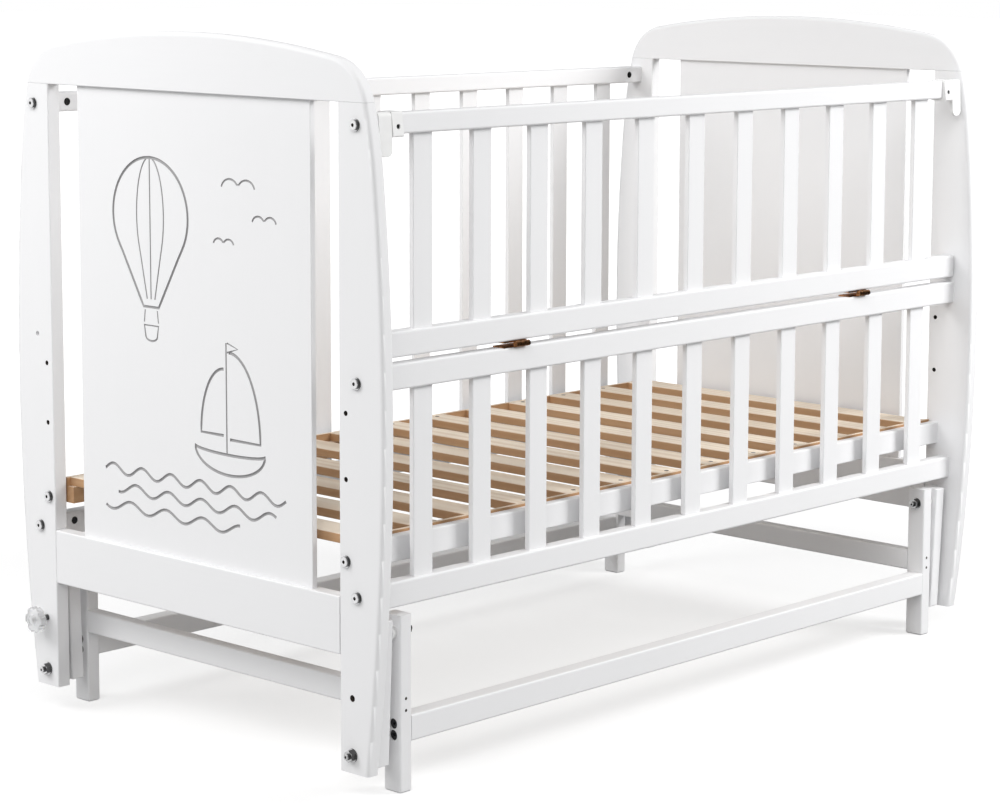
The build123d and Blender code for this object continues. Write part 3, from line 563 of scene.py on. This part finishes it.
class Recipe:
    """A Geometry Nodes tree with named inputs, run once on an object."""

    def __init__(self, name: str, inputs: dict[str, tuple[str, object]]) -> None:
        """Makes the tree.

        Args:
            name: the tree's name.
            inputs: socket type and value of each named input.
        """
        group = bpy.data.node_groups.new(name, "GeometryNodeTree")
        group.interface.new_socket("Geometry", in_out="INPUT", socket_type="NodeSocketGeometry")
        self.values = {}
        for label, (kind, value) in inputs.items():
            made = group.interface.new_socket(label, in_out="INPUT", socket_type=kind)
            self.values[made.identifier] = value
        group.interface.new_socket("Geometry", in_out="OUTPUT", socket_type="NodeSocketGeometry")
        self.tree = Tree(group)
        self.start = self.tree.node("NodeGroupInput")

    def value(self, label: str) -> Signal:
        """Gives one of the named inputs.

        Args:
            label: the input's name.

        Returns:
            The input.
        """
        return Signal(self.tree, self.start.outputs[label])

    def end(self, geometry: bpy.types.NodeSocket) -> None:
        """Realizes the instances, sets their finish and closes the tree.

        Args:
            geometry: what the tree has made.
        """
        real = self.tree.node("GeometryNodeRealizeInstances", None, {0: geometry})
        dressed = self.tree.node(
            "GeometryNodeSetMaterial", None,
            {"Geometry": real.outputs[0], "Material": self.value("Finish")},
        )
        self.tree.node("NodeGroupOutput", None, {0: dressed.outputs[0]})

    def run(self, name: str, carrier: Optional[bpy.types.Object] = None) -> bpy.types.Object:
        """Runs the tree.

        Args:
            name: the name of the piece that it makes.
            carrier: the object that it works on, or none for an empty mesh.

        Returns:
            The piece, a plain mesh.
        """
        if carrier is None:
            carrier = new_object(name + "_carrier", bpy.data.meshes.new(name + "_carrier"))
        modifier = carrier.modifiers.new("recipe", "NODES")
        modifier.node_group = self.tree.tree
        for identifier, value in self.values.items():
            modifier[identifier] = value
        return settled(carrier, name)


@dataclass(frozen=True)
class Stroke:
    """One routed line on the panel, as points across and up it."""

    points: list[Point]
    closed: bool = False
    width: float = 4.0 * MM


def arc(centre: Point, radius: Point, start: float, end: float, count: int = 28) -> list[Point]:
    """Points on an elliptic arc, with its angles in degrees.

    Args:
        centre: the middle of the ellipse.
        radius: its half-axes across and up.
        start: first angle.
        end: last angle.
        count: number of points.

    Returns:
        The points, in order.
    """
    turns = [math.radians(start + (end - start) * i / (count - 1)) for i in range(count)]
    return [
        (centre[0] + radius[0] * math.cos(t), centre[1] + radius[1] * math.sin(t)) for t in turns
    ]


def wave_line(
    left: float, right: float, height: float, swell: float, length: float
) -> list[Point]:
    """Points on a wavy line between two places across the panel.

    Args:
        left: where it starts.
        right: where it ends.
        height: its middle height.
        swell: how far it rises and falls.
        length: the length of one wave.

    Returns:
        The points, in order.
    """
    count = int((right - left) / length * WAVE_POINTS) + 2
    across = [left + (right - left) * i / (count - 1) for i in range(count)]
    return [(u, height + swell * math.sin(2 * math.pi * u / length)) for u in across]


@dataclass(frozen=True)
class Balloon:
    """A hot-air balloon of routed lines.

    Below the shoulder, a share of the radius, the envelope tapers straight to the throat. The
    gores are lines at shares of its width.
    """

    centre: Point
    radius: float
    throat_drop: float = 118 * MM
    throat_half: float = 15 * MM
    basket_drop: float = 24 * MM
    basket_size: Point = (28 * MM, 20 * MM)
    gores: tuple[float, ...] = (0.36, 0.0)
    shoulder: float = 0.62
    steps: int = 30
    step_growth: float = 1.6

    def half_width(self, drop: float) -> float:
        """Half the envelope's width.

        Args:
            drop: the depth below its middle.

        Returns:
            Half the width there.
        """
        tangent = self.radius * self.shoulder
        if drop <= tangent:
            return math.sqrt(max(self.radius ** 2 - drop ** 2, 0.0))
        start = math.sqrt(self.radius ** 2 - tangent ** 2)
        share = (drop - tangent) / (self.throat_drop - tangent)
        return start + (self.throat_half - start) * share

    def side(self, share: float, hand: int) -> list[Point]:
        """A line from the crown to the throat.

        Args:
            share: where it runs, as a share of the envelope's half width.
            hand: 1 for the right half, -1 for the left one.

        Returns:
            The points, from the crown down.
        """
        u, v = self.centre
        line = []
        for i in range(self.steps + 1):
            turn = math.pi / 2 * (1 - i / self.steps)
            top = -self.radius * math.sin(turn)
            drop = top + self.throat_drop * (i / self.steps) ** self.step_growth
            line.append((u + hand * share * self.half_width(drop), v - drop))
        return line

    def strokes(self) -> Iterable[Stroke]:
        """All lines of the balloon.

        Returns:
            The strokes, envelope first.
        """
        left = self.side(1.0, -1)
        right = self.side(1.0, 1)
        yield Stroke(left[::-1] + right[1:], closed=True)
        for share in self.gores:
            hands = (-1, 1) if share else (1,)
            for hand in hands:
                yield Stroke(self.side(share, hand)[2:-1], width=2.4 * MM)
        u, v = self.centre
        rim = v - self.throat_drop - self.basket_drop
        half, tall = self.basket_size[0] / 2, self.basket_size[1]
        for hand in (-1, 1):
            yield Stroke(
                [(u + hand * self.throat_half * 0.8, v - self.throat_drop - 4 * MM),
                 (u + hand * half, rim + 4 * MM)], width=2.2 * MM,
            )
        basket = [(u - half, rim), (u + half, rim)]
        basket += arc((u, rim - tall + 6 * MM), (half * 0.82, 6 * MM), 0, -180, 12)
        yield Stroke(basket, closed=True, width=2.8 * MM)


@dataclass(frozen=True)
class SailingBoat:
    """A small boat with two sails, of routed lines."""

    stem: Point
    hull_length: float = 132 * MM
    hull_depth: float = 32 * MM
    mast_height: float = 128 * MM

    def strokes(self) -> Iterable[Stroke]:
        """All lines of the boat.

        Returns:
            The strokes, hull first.
        """
        u, v = self.stem
        length, depth = self.hull_length, self.hull_depth
        middle = u + length / 2
        hull = arc((middle, v), (length / 2, depth), 180, 360, 32)
        deck = arc((middle, v), (length / 2, -6 * MM), 0, 180, 16)
        yield Stroke(hull + deck[1:-1], closed=True)
        mast = u + length * 0.46
        foot = v + 8 * MM
        top = foot + self.mast_height
        yield Stroke([(mast, foot - 12 * MM), (mast, top)], width=2.6 * MM)
        leech = arc((mast + 5 * MM, foot + 6 * MM), (58 * MM, self.mast_height * 0.86), 0, 90, 20)
        yield Stroke([(mast + 6 * MM, foot + 6 * MM)] + leech)
        luff = arc((mast - 5 * MM, foot + 10 * MM), (-44 * MM, self.mast_height * 0.66), 0, 90, 18)
        yield Stroke([(mast - 6 * MM, foot + 10 * MM)] + luff)
        pennant = [
            (mast + 2 * MM, top), (mast + 22 * MM, top - 6 * MM), (mast + 2 * MM, top - 12 * MM)
        ]
        yield Stroke(pennant, width=2.4 * MM)


def gull(middle: Point, span: float) -> Stroke:
    """A flying bird as two joined arcs.

    Args:
        middle: where its wings join.
        span: their width.

    Returns:
        The stroke.
    """
    u, v = middle
    left = arc((u - span / 4, v - span * 0.14), (span / 4, span * 0.2), 170, 30, 12)
    right = arc((u + span / 4, v - span * 0.14), (span / 4, span * 0.2), 150, 10, 12)
    return Stroke(left + right, width=2.8 * MM)


@dataclass
class RoutedPanel:
    """The left end panel with a seaside picture routed into its outer face."""

    node: str = "end_panel_left"
    body: str = "cot"
    groove_lift: float = 0.1 * MM
    balloon: Balloon = Balloon((-78 * MM, 690 * MM), 74 * MM)
    boat: SailingBoat = SailingBoat((6 * MM, 404 * MM))
    gulls: tuple[tuple[Point, float], ...] = (
        ((92 * MM, 742 * MM), 62 * MM), ((140 * MM, 700 * MM), 44 * MM),
        ((64 * MM, 668 * MM), 38 * MM),
    )
    waves: tuple[Triple, ...] = (
        (-176 * MM, 176 * MM, 352 * MM), (-150 * MM, 158 * MM, 328 * MM),
        (-176 * MM, 90 * MM, 304 * MM),
    )
    swell: float = 6.5 * MM
    wave_length: float = 58 * MM

    def strokes(self) -> list[Stroke]:
        """Every routed line of the picture."""
        lines = list(self.balloon.strokes()) + list(self.boat.strokes())
        lines += [gull(middle, span) for middle, span in self.gulls]
        for row, (left, right, height) in enumerate(self.waves):
            length = self.wave_length * (1 + 0.12 * row)
            lines.append(Stroke(wave_line(left, right, height, self.swell, length)))
        return lines

    def cutter(self, face_x: float) -> bpy.types.Object:
        """Makes the tool shape of the grooves from the strokes.

        Args:
            face_x: where the panel's outer face lies.

        Returns:
            A closed mesh of round bars that lie half in the face.
        """
        curve = bpy.data.curves.new("strokes", "CURVE")
        curve.dimensions = "3D"
        for stroke in self.strokes():
            spline = curve.splines.new("POLY")
            spline.points.add(len(stroke.points) - 1)
            for place, (u, v) in zip(spline.points, stroke.points):
                place.co = (face_x - self.groove_lift, -u, v, 1.0)
                place.radius = stroke.width / (2 * MM)
            spline.use_cyclic_u = stroke.closed
        recipe = Recipe(
            "routed_grooves",
            {"Radius": ("NodeSocketFloat", MM),
             "Finish": ("NodeSocketMaterial", GROOVE_SHADE_PAINT.material())},
        )
        tree = recipe.tree
        profile = tree.node(
            "GeometryNodeCurvePrimitiveCircle", None,
            {"Resolution": 8, "Radius": recipe.value("Radius")},
        )
        inputs = {
            "Curve": recipe.start.outputs["Geometry"],
            "Profile Curve": profile.outputs["Curve"], "Fill Caps": True,
        }
        bars = tree.node("GeometryNodeCurveToMesh")
        if "Scale" in bars.inputs:
            width = tree.node("GeometryNodeInputRadius")
            inputs["Scale"] = width.outputs[0]
        for name, value in inputs.items():
            tree.feed(bars.inputs[name], value)
        recipe.end(bars.outputs[0])
        return recipe.run("groove_cutter", new_object("strokes", curve))

    def build(self) -> bpy.types.Object:
        """Cuts the grooves in a copy of the panel.

        Returns:
            The routed panel, which stands for the plain one.
        """
        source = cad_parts[self.node]
        work = bmesh.new()
        work.from_mesh(source.data)
        bmesh.ops.remove_doubles(work, verts=work.verts, dist=1e-6)
        bmesh.ops.recalc_face_normals(work, faces=work.faces)
        mesh = bpy.data.meshes.new("routed_panel")
        work.to_mesh(mesh)
        work.free()
        mesh.materials.append(PAINT_Z.material())
        panel = new_object("routed_panel_work", mesh)
        tool = self.cutter(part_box(self.node)[0].x)
        cut = panel.modifiers.new("grooves", "BOOLEAN")
        cut.operation = "DIFFERENCE"
        cut.solver = "EXACT"
        cut.use_self = True
        # The groove walls take the cutter's dark grey: painted shade in the grooves.
        cut.material_mode = "TRANSFER"
        cut.object = tool
        piece = settled(panel, "routed_panel")
        bpy.data.objects.remove(tool)
        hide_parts(self.node)
        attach(piece, self.body)
        return piece


@dataclass
class SlatScrews:
    """Small countersunk screws that hold the bed slats to their battens."""

    body: str = "cot"
    count: int = 13
    edge: float = 9 * MM
    first_slat: float = 23 * MM
    head_radius: float = 3.4 * MM
    head_rise: float = 0.15 * MM
    head_depth: float = 1.6 * MM

    def build(self) -> bpy.types.Object:
        """Sets a screw at both ends of every slat.

        Returns:
            All screw heads as one piece.
        """
        low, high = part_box("bed_slats")
        recipe = Recipe(
            "slat_screws",
            {"First": ("NodeSocketVector", (low.x + self.first_slat, low.y + self.edge, high.z)),
             "Last": ("NodeSocketVector", (high.x - self.first_slat, low.y + self.edge, high.z)),
             "Across": ("NodeSocketFloat", high.y - low.y - 2 * self.edge),
             "Count": ("NodeSocketInt", self.count),
             "Radius": ("NodeSocketFloat", self.head_radius),
             "Finish": ("NodeSocketMaterial", ZINC.material())},
        )
        tree = recipe.tree
        row = tree.node(
            "GeometryNodeMeshLine", {"mode": "END_POINTS"},
            {"Count": recipe.value("Count"), "Start Location": recipe.value("First"),
             "Offset": recipe.value("Last")},
        )
        apart = tree.node("ShaderNodeCombineXYZ", None, {1: recipe.value("Across")})
        second = tree.node(
            "GeometryNodeTransform", None,
            {"Geometry": row.outputs[0], "Translation": apart.outputs[0]},
        )
        rows = tree.node("GeometryNodeJoinGeometry")
        tree.feed(rows.inputs[0], row.outputs[0])
        tree.feed(rows.inputs[0], second.outputs[0])
        head = tree.node(
            "GeometryNodeMeshCone", {"fill_type": "NGON"},
            {"Vertices": 18, "Radius Top": recipe.value("Radius"),
             "Radius Bottom": recipe.value("Radius") * 0.45, "Depth": self.head_depth},
        )
        sunk = tree.node(
            "GeometryNodeTransform", None,
            {"Geometry": head.outputs[0],
             "Translation": (0.0, 0.0, self.head_rise - self.head_depth)},
        )
        placed = tree.node(
            "GeometryNodeInstanceOnPoints", None,
            {"Points": rows.outputs[0], "Instance": sunk.outputs[0]},
        )
        recipe.end(placed.outputs[0])
        piece = recipe.run("slat_screws")
        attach(piece, self.body)
        return piece


def shade_cylinders(
    name: str, places: list[Triple], size: Point, turn: Triple, ends: str, sides: int
) -> bpy.types.Object:
    """Sets near-black cylinders of one size at the given places: painted shade.

    Args:
        name: the piece's name.
        places: the middles of the cylinders.
        size: their radius and length.
        turn: their rotation, from lying along Z.
        ends: NGON for closed ends or NONE for open ones.
        sides: their number of sides.

    Returns:
        All cylinders as one piece.
    """
    mesh = bpy.data.meshes.new(name + "_places")
    mesh.from_pydata(places, [], [])
    recipe = Recipe(
        name,
        {"Radius": ("NodeSocketFloat", size[0]), "Length": ("NodeSocketFloat", size[1]),
         "Finish": ("NodeSocketMaterial", BORE_SHADE.material())},
    )
    tree = recipe.tree
    cylinder = tree.node(
        "GeometryNodeMeshCylinder", {"fill_type": ends},
        {"Vertices": sides, "Radius": recipe.value("Radius"), "Depth": recipe.value("Length")},
    )
    laid = tree.node(
        "GeometryNodeTransform", None, {"Geometry": cylinder.outputs[0], "Rotation": turn}
    )
    placed = tree.node(
        "GeometryNodeInstanceOnPoints", None,
        {"Points": recipe.start.outputs["Geometry"], "Instance": laid.outputs[0]},
    )
    recipe.end(placed.outputs[0])
    return recipe.run(name, new_object(name + "_places", mesh))


@dataclass
class BoreLinings:
    """Near-black tubes in the spare bores through the posts: painted shade for the bores' dark
    insides.
    """

    body: str = "cot"
    bed_levels: tuple[float, ...] = (397.5 * MM, 478.0 * MM)
    bed_bore_y: float = 290.0 * MM
    bed_bore_radius: float = 3.2 * MM
    lock_level: float = 129.0 * MM
    lock_bore_y: float = 299.5 * MM
    lock_bore_radius: float = 4.25 * MM
    margin: float = 0.3 * MM
    sides: int = 24

    def lining(
        self, name: str, places: list[Triple], radius: float, length: float
    ) -> bpy.types.Object:
        """Makes open tubes along X at the given places.

        Args:
            name: the piece's name.
            places: the middles of the tubes.
            radius: their radius.
            length: their length.

        Returns:
            All tubes as one piece.
        """
        turn = (0.0, math.pi / 2, 0.0)
        piece = shade_cylinders(name, places, (radius, length), turn, "NONE", self.sides)
        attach(piece, self.body)
        return piece

    def build(self) -> bpy.types.Object:
        """Lines the bed-level bores of all posts and the lock bores of the near ones.

        Returns:
            The linings of the bed-level bores.
        """
        ends = []
        for end in ("left", "right"):
            low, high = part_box(f"post_near_{end}")
            ends.append((low.x + high.x) / 2)
            length = high.x - low.x - 2 * self.margin
        locks = [(x, -self.lock_bore_y, self.lock_level) for x in ends]
        self.lining("lock_bore_linings", locks, self.lock_bore_radius, length)
        spots = [
            (x, side * self.bed_bore_y, level)
            for x in ends for side in (-1, 1) for level in self.bed_levels
        ]
        return self.lining("bed_bore_linings", spots, self.bed_bore_radius, length)


@dataclass
class SocketFloors:
    """Near-black discs in bolts' sockets and ends and in screw holes, the same at both ends: painted
    shade for their dark insides.

    The places are in millimetres.
    """

    body: str
    name: str
    places: list[Triple]
    radius: float
    facing: Triple = (1.0, 0.0, 0.0)
    depth: float = 0.4 * MM
    sides: int = 18

    def build(self) -> bpy.types.Object:
        """Sets a thin disc at every place, mirrored to both ends.

        Returns:
            All discs as one piece.
        """
        spots = [(side * x * MM, y * MM, z * MM) for x, y, z in self.places for side in (-1, 1)]
        turn = tuple(Vector(self.facing).to_track_quat("Z", "Y").to_euler())
        size = (self.radius, self.depth)
        piece = shade_cylinders(self.name, spots, size, turn, "NGON", self.sides)
        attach(piece, self.body)
        return piece


SOCKET_FLOORS = (
    SocketFloors(
        "cot", "frame_bolt_sockets",
        [(624.8, -309.0, 824.0), (624.8, -309.0, 516.0), (624.8, -309.0, 255.0),
         (624.8, -290.0, 297.0), (624.8, 290.0, 297.0), (624.8, 309.0, 824.0),
         (624.8, 309.0, 255.0)],
        1.9 * MM,
    ),
    SocketFloors(
        "cot", "lower_pivot_hollows", [(632.5, side * 299.5, 58.0) for side in (-1, 1)], 1.6 * MM
    ),
    SocketFloors(
        "base", "upper_pivot_hollows", [(530.5, side * 305.5, 202.0) for side in (-1, 1)], 1.6 * MM
    ),
    SocketFloors(
        "base", "leg_screw_holes",
        [(551.0, side * 319.4, height) for side in (-1, 1) for height in (103.75, 118.75)],
        2.0 * MM, (0.0, 1.0, 0.0),
    ),
)


@dataclass
class StudThread:
    """Thread that winds along a lock knob's stud."""

    end: str
    pitch: float = 1.25 * MM
    ridge: float = 0.42 * MM
    clear: float = 0.02 * MM

    def build(self) -> bpy.types.Object:
        """Winds the ridge on the stud's bare length.

        Returns:
            The thread as one piece.
        """
        node = f"lock_stud_{self.end}"
        low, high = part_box(node)
        radius = (high.z - low.z) / 2
        middle = (low + high) / 2
        length = high.x - low.x
        recipe = Recipe(
            f"stud_thread_{self.end}",
            {"Turns": ("NodeSocketFloat", (length - 2 * self.pitch) / self.pitch),
             "Radius": ("NodeSocketFloat", radius - self.ridge * 0.75),
             "Length": ("NodeSocketFloat", length - 2 * self.pitch),
             "Ridge": ("NodeSocketFloat", self.ridge),
             "Finish": ("NodeSocketMaterial", ZINC.material())},
        )
        tree = recipe.tree
        winding = tree.node(
            "GeometryNodeCurveSpiral", None,
            {"Resolution": 20, "Rotations": recipe.value("Turns"),
             "Start Radius": recipe.value("Radius"), "End Radius": recipe.value("Radius"),
             "Height": recipe.value("Length")},
        )
        profile = tree.node(
            "GeometryNodeCurvePrimitiveCircle", None,
            {"Resolution": 4, "Radius": recipe.value("Ridge")},
        )
        ridge = tree.node(
            "GeometryNodeCurveToMesh", None,
            {"Curve": winding.outputs[0], "Profile Curve": profile.outputs[0], "Fill Caps": True},
        )
        laid = tree.node(
            "GeometryNodeTransform", None,
            {"Geometry": ridge.outputs[0],
             "Translation": (low.x + self.pitch, middle.y, middle.z),
             "Rotation": (0.0, math.pi / 2, 0.0)},
        )
        recipe.end(laid.outputs[0])
        piece = recipe.run(f"stud_thread_{self.end}")
        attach(piece, f"lock_knob_{self.end}")
        return piece


@dataclass(frozen=True)
class LightPanel:
    """A square light panel."""

    name: str
    power: float
    place: Triple
    target: Triple
    side: float = 1.6


@dataclass
class Studio:
    """Plain pale floor, soft light and a white surround.

    What glossy surfaces mirror is bright at the far left and dark at the near right, which
    gives plated bolts a bright face. Far from the object the floor is lifted to full white.
    """

    floor_size: float = 60.0
    floor_colour: Triple = (0.42, 0.42, 0.42)
    floor_lift: float = 0.62
    far_lift: float = 0.4
    far_start: float = 1.1
    far_blend: float = 1.6
    dim_side: float = 0.2
    bright_side: float = 0.36
    glossy_dim: float = 0.03
    glossy_bright: float = 1.5
    bright_direction: Triple = (-0.72, -0.05, 0.69)
    mirrored_direction: Triple = (-0.72, 0.64, 0.27)
    mirrored_power: float = 3.0
    mirrored_floor: Triple = (-0.5, 0.45, 0.0)
    mirrored_floor_level: float = 0.35
    key_strength: float = 1.2
    key_angle: float = 40.0
    key_direction: Vector = field(default_factory=lambda: Vector((0.66, 0.4, -0.64)))
    left_panel: LightPanel = LightPanel("left_panel", 48.0, (-2.4, 1.3, 2.2), (-0.5, 0.1, 0.7))
    right_panel: LightPanel = LightPanel("right_panel", 112.0, (2.0, -2.6, 2.3), (0.3, -0.3, 0.6))

    def floor(self) -> None:
        """Lays the floor, which shows white to the camera apart from the object's shadow."""
        half = self.floor_size / 2
        mesh = bpy.data.meshes.new("floor")
        corners = [(-half, -half, 0), (half, -half, 0), (half, half, 0), (-half, half, 0)]
        mesh.from_pydata(corners, [], [(0, 1, 2, 3)])
        made = new_object("floor", mesh)
        material = bpy.data.materials.new("pale_floor")
        material.use_nodes = True
        material.node_tree.nodes.clear()
        tree = Tree(material.node_tree)
        matt = tree.node("ShaderNodeBsdfDiffuse", None, {"Color": rgba(self.floor_colour)})
        path = tree.node("ShaderNodeLightPath")
        spot = tree.node("ShaderNodeTexCoord").outputs["Object"]
        distance = tree.node("ShaderNodeVectorMath", {"operation": "LENGTH"}, {0: spot})
        away = Signal(tree, distance.outputs["Value"])
        far = ((away - self.far_start) / self.far_blend).at_most_one()
        lift = Signal(tree, path.outputs["Is Camera Ray"]) * (
            far * self.far_lift + self.floor_lift
        )
        mirrored = tree.reach(spot, self.mirrored_floor) + self.mirrored_floor_level
        mirrored = mirrored.at_most_one()
        glow = tree.node(
            "ShaderNodeEmission", None, {"Color": (1.0, 1.0, 1.0, 1.0), "Strength": lift}
        )
        both = tree.node("ShaderNodeAddShader", None, {0: matt.outputs[0], 1: glow.outputs[0]})
        image = tree.node(
            "ShaderNodeEmission", None, {"Color": (1.0, 1.0, 1.0, 1.0), "Strength": mirrored}
        )
        shown = tree.node(
            "ShaderNodeMixShader", None,
            {0: path.outputs["Is Glossy Ray"], 1: both.outputs[0], 2: image.outputs[0]},
        )
        tree.node("ShaderNodeOutputMaterial", None, {"Surface": shown.outputs[0]})
        mesh.materials.append(material)

    def world(self) -> None:
        """Lights from all round, most from one side, and shows white to the camera."""
        world = bpy.data.worlds.new("surround")
        bpy.context.scene.world = world
        world.use_nodes = True
        world.node_tree.nodes.clear()
        tree = Tree(world.node_tree)
        around = tree.node("ShaderNodeTexCoord").outputs["Generated"]
        share, mirrored = (
            (tree.reach(around, direction) * 0.5 + 0.5).at_most_one()
            for direction in (self.bright_direction, self.mirrored_direction)
        )
        light = share * share * (self.bright_side - self.dim_side) + self.dim_side
        path = tree.node("ShaderNodeLightPath")
        seen = Signal(tree, path.outputs["Is Camera Ray"])
        seen = (seen + Signal(tree, path.outputs["Is Transmission Ray"])).at_most_one()
        glossy = Signal(tree, path.outputs["Is Glossy Ray"])
        sharp = mirrored ** self.mirrored_power * self.glossy_bright + self.glossy_dim
        light = sharp * glossy + light * (1.0 - glossy)
        strength = seen + light * (1.0 - seen)
        back = tree.node(
            "ShaderNodeBackground", None, {"Color": (1.0, 1.0, 1.0, 1.0), "Strength": strength}
        )
        tree.node("ShaderNodeOutputWorld", None, {"Surface": back.outputs[0]})

    def place_lamp(
        self, name: str, lamp: bpy.types.Light, direction: Vector, place: Vector
    ) -> None:
        """Puts a lamp in the scene, unseen in glossy surfaces.

        Args:
            name: the lamp's name.
            lamp: its settings.
            direction: the way its light goes.
            place: where it stands.
        """
        made = new_object(name, lamp)
        made.location = place
        made.visible_glossy = False
        made.rotation_mode = "QUATERNION"
        made.rotation_quaternion = direction.normalized().to_track_quat("-Z", "Y")

    def build(self) -> None:
        """Sets up the floor, the surround and the lamps."""
        self.floor()
        self.world()
        key = bpy.data.lights.new("key", "SUN")
        key.energy = self.key_strength
        key.angle = math.radians(self.key_angle)
        self.place_lamp("key", key, self.key_direction, Vector((0, 0, 3)))
        for panel in (self.left_panel, self.right_panel):
            light = bpy.data.lights.new(panel.name, "AREA")
            light.energy = panel.power
            light.size = panel.side
            place = Vector(panel.place)
            self.place_lamp(panel.name, light, Vector(panel.target) - place, place)


@dataclass(frozen=True)
class Viewpoint:
    """Camera at the photograph's place and angle."""

    location: Triple = (-2.9040, -2.7135, 1.0389)
    azimuth: float = -47.378
    elevation: float = 7.748
    roll: float = 0.281
    focal_pixels: float = 2812.2
    centre: Point = (545.0, 324.0)
    film_width: float = 36.0
    reach: float = 200.0

    def build(self) -> None:
        """Sets up the camera."""
        turn, lift, tilt = (
            math.radians(angle) for angle in (self.azimuth, self.elevation, self.roll)
        )
        back = Vector((
            math.sin(turn) * math.cos(lift), -math.cos(turn) * math.cos(lift), math.sin(lift),
        ))
        right = Vector((0, 0, 1)).cross(back).normalized()
        up = back.cross(right)
        across = right * math.cos(tilt) + up * math.sin(tilt)
        upward = up * math.cos(tilt) - right * math.sin(tilt)
        data = bpy.data.cameras.new("camera")
        data.sensor_width = self.film_width
        data.lens = self.focal_pixels / PHOTO_WIDTH * self.film_width
        data.shift_x = (PHOTO_WIDTH / 2 - self.centre[0]) / PHOTO_WIDTH
        data.shift_y = (self.centre[1] - PHOTO_HEIGHT / 2) / PHOTO_WIDTH
        data.clip_end = self.reach
        camera = new_object("camera", data)
        turned = Matrix((across, upward, back)).transposed()
        camera.matrix_world = Matrix.Translation(self.location) @ turned.to_4x4()
        bpy.context.scene.camera = camera


def dress_nodes() -> None:
    """Gives every node of the frame its finish."""
    for name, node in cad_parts.items():
        finish = finish_of(name)
        node.data.materials.clear()
        node.data.materials.append(finish.material())
        log.info("%s: %s", name, finish.name)


def main() -> None:
    """Dresses the cot, adds its small pieces and sets up light and camera."""
    logging.basicConfig(level=logging.INFO, format="%(name)s: %(message)s")
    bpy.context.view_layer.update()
    bpy.context.scene.view_settings.view_transform = "Standard"
    dress_nodes()
    builders: list[Callable[[], bpy.types.Object]] = [
        RoutedPanel().build, SlatScrews().build, BoreLinings().build,
        *(floors.build for floors in SOCKET_FLOORS),
        StudThread("left").build, StudThread("right").build,
    ]
    for build in builders:
        piece = build()
        log.info("%s: %d faces", piece.name, len(piece.data.polygons))
    Studio().build()
    Viewpoint().build()


if __name__ == "__main__":
    main()
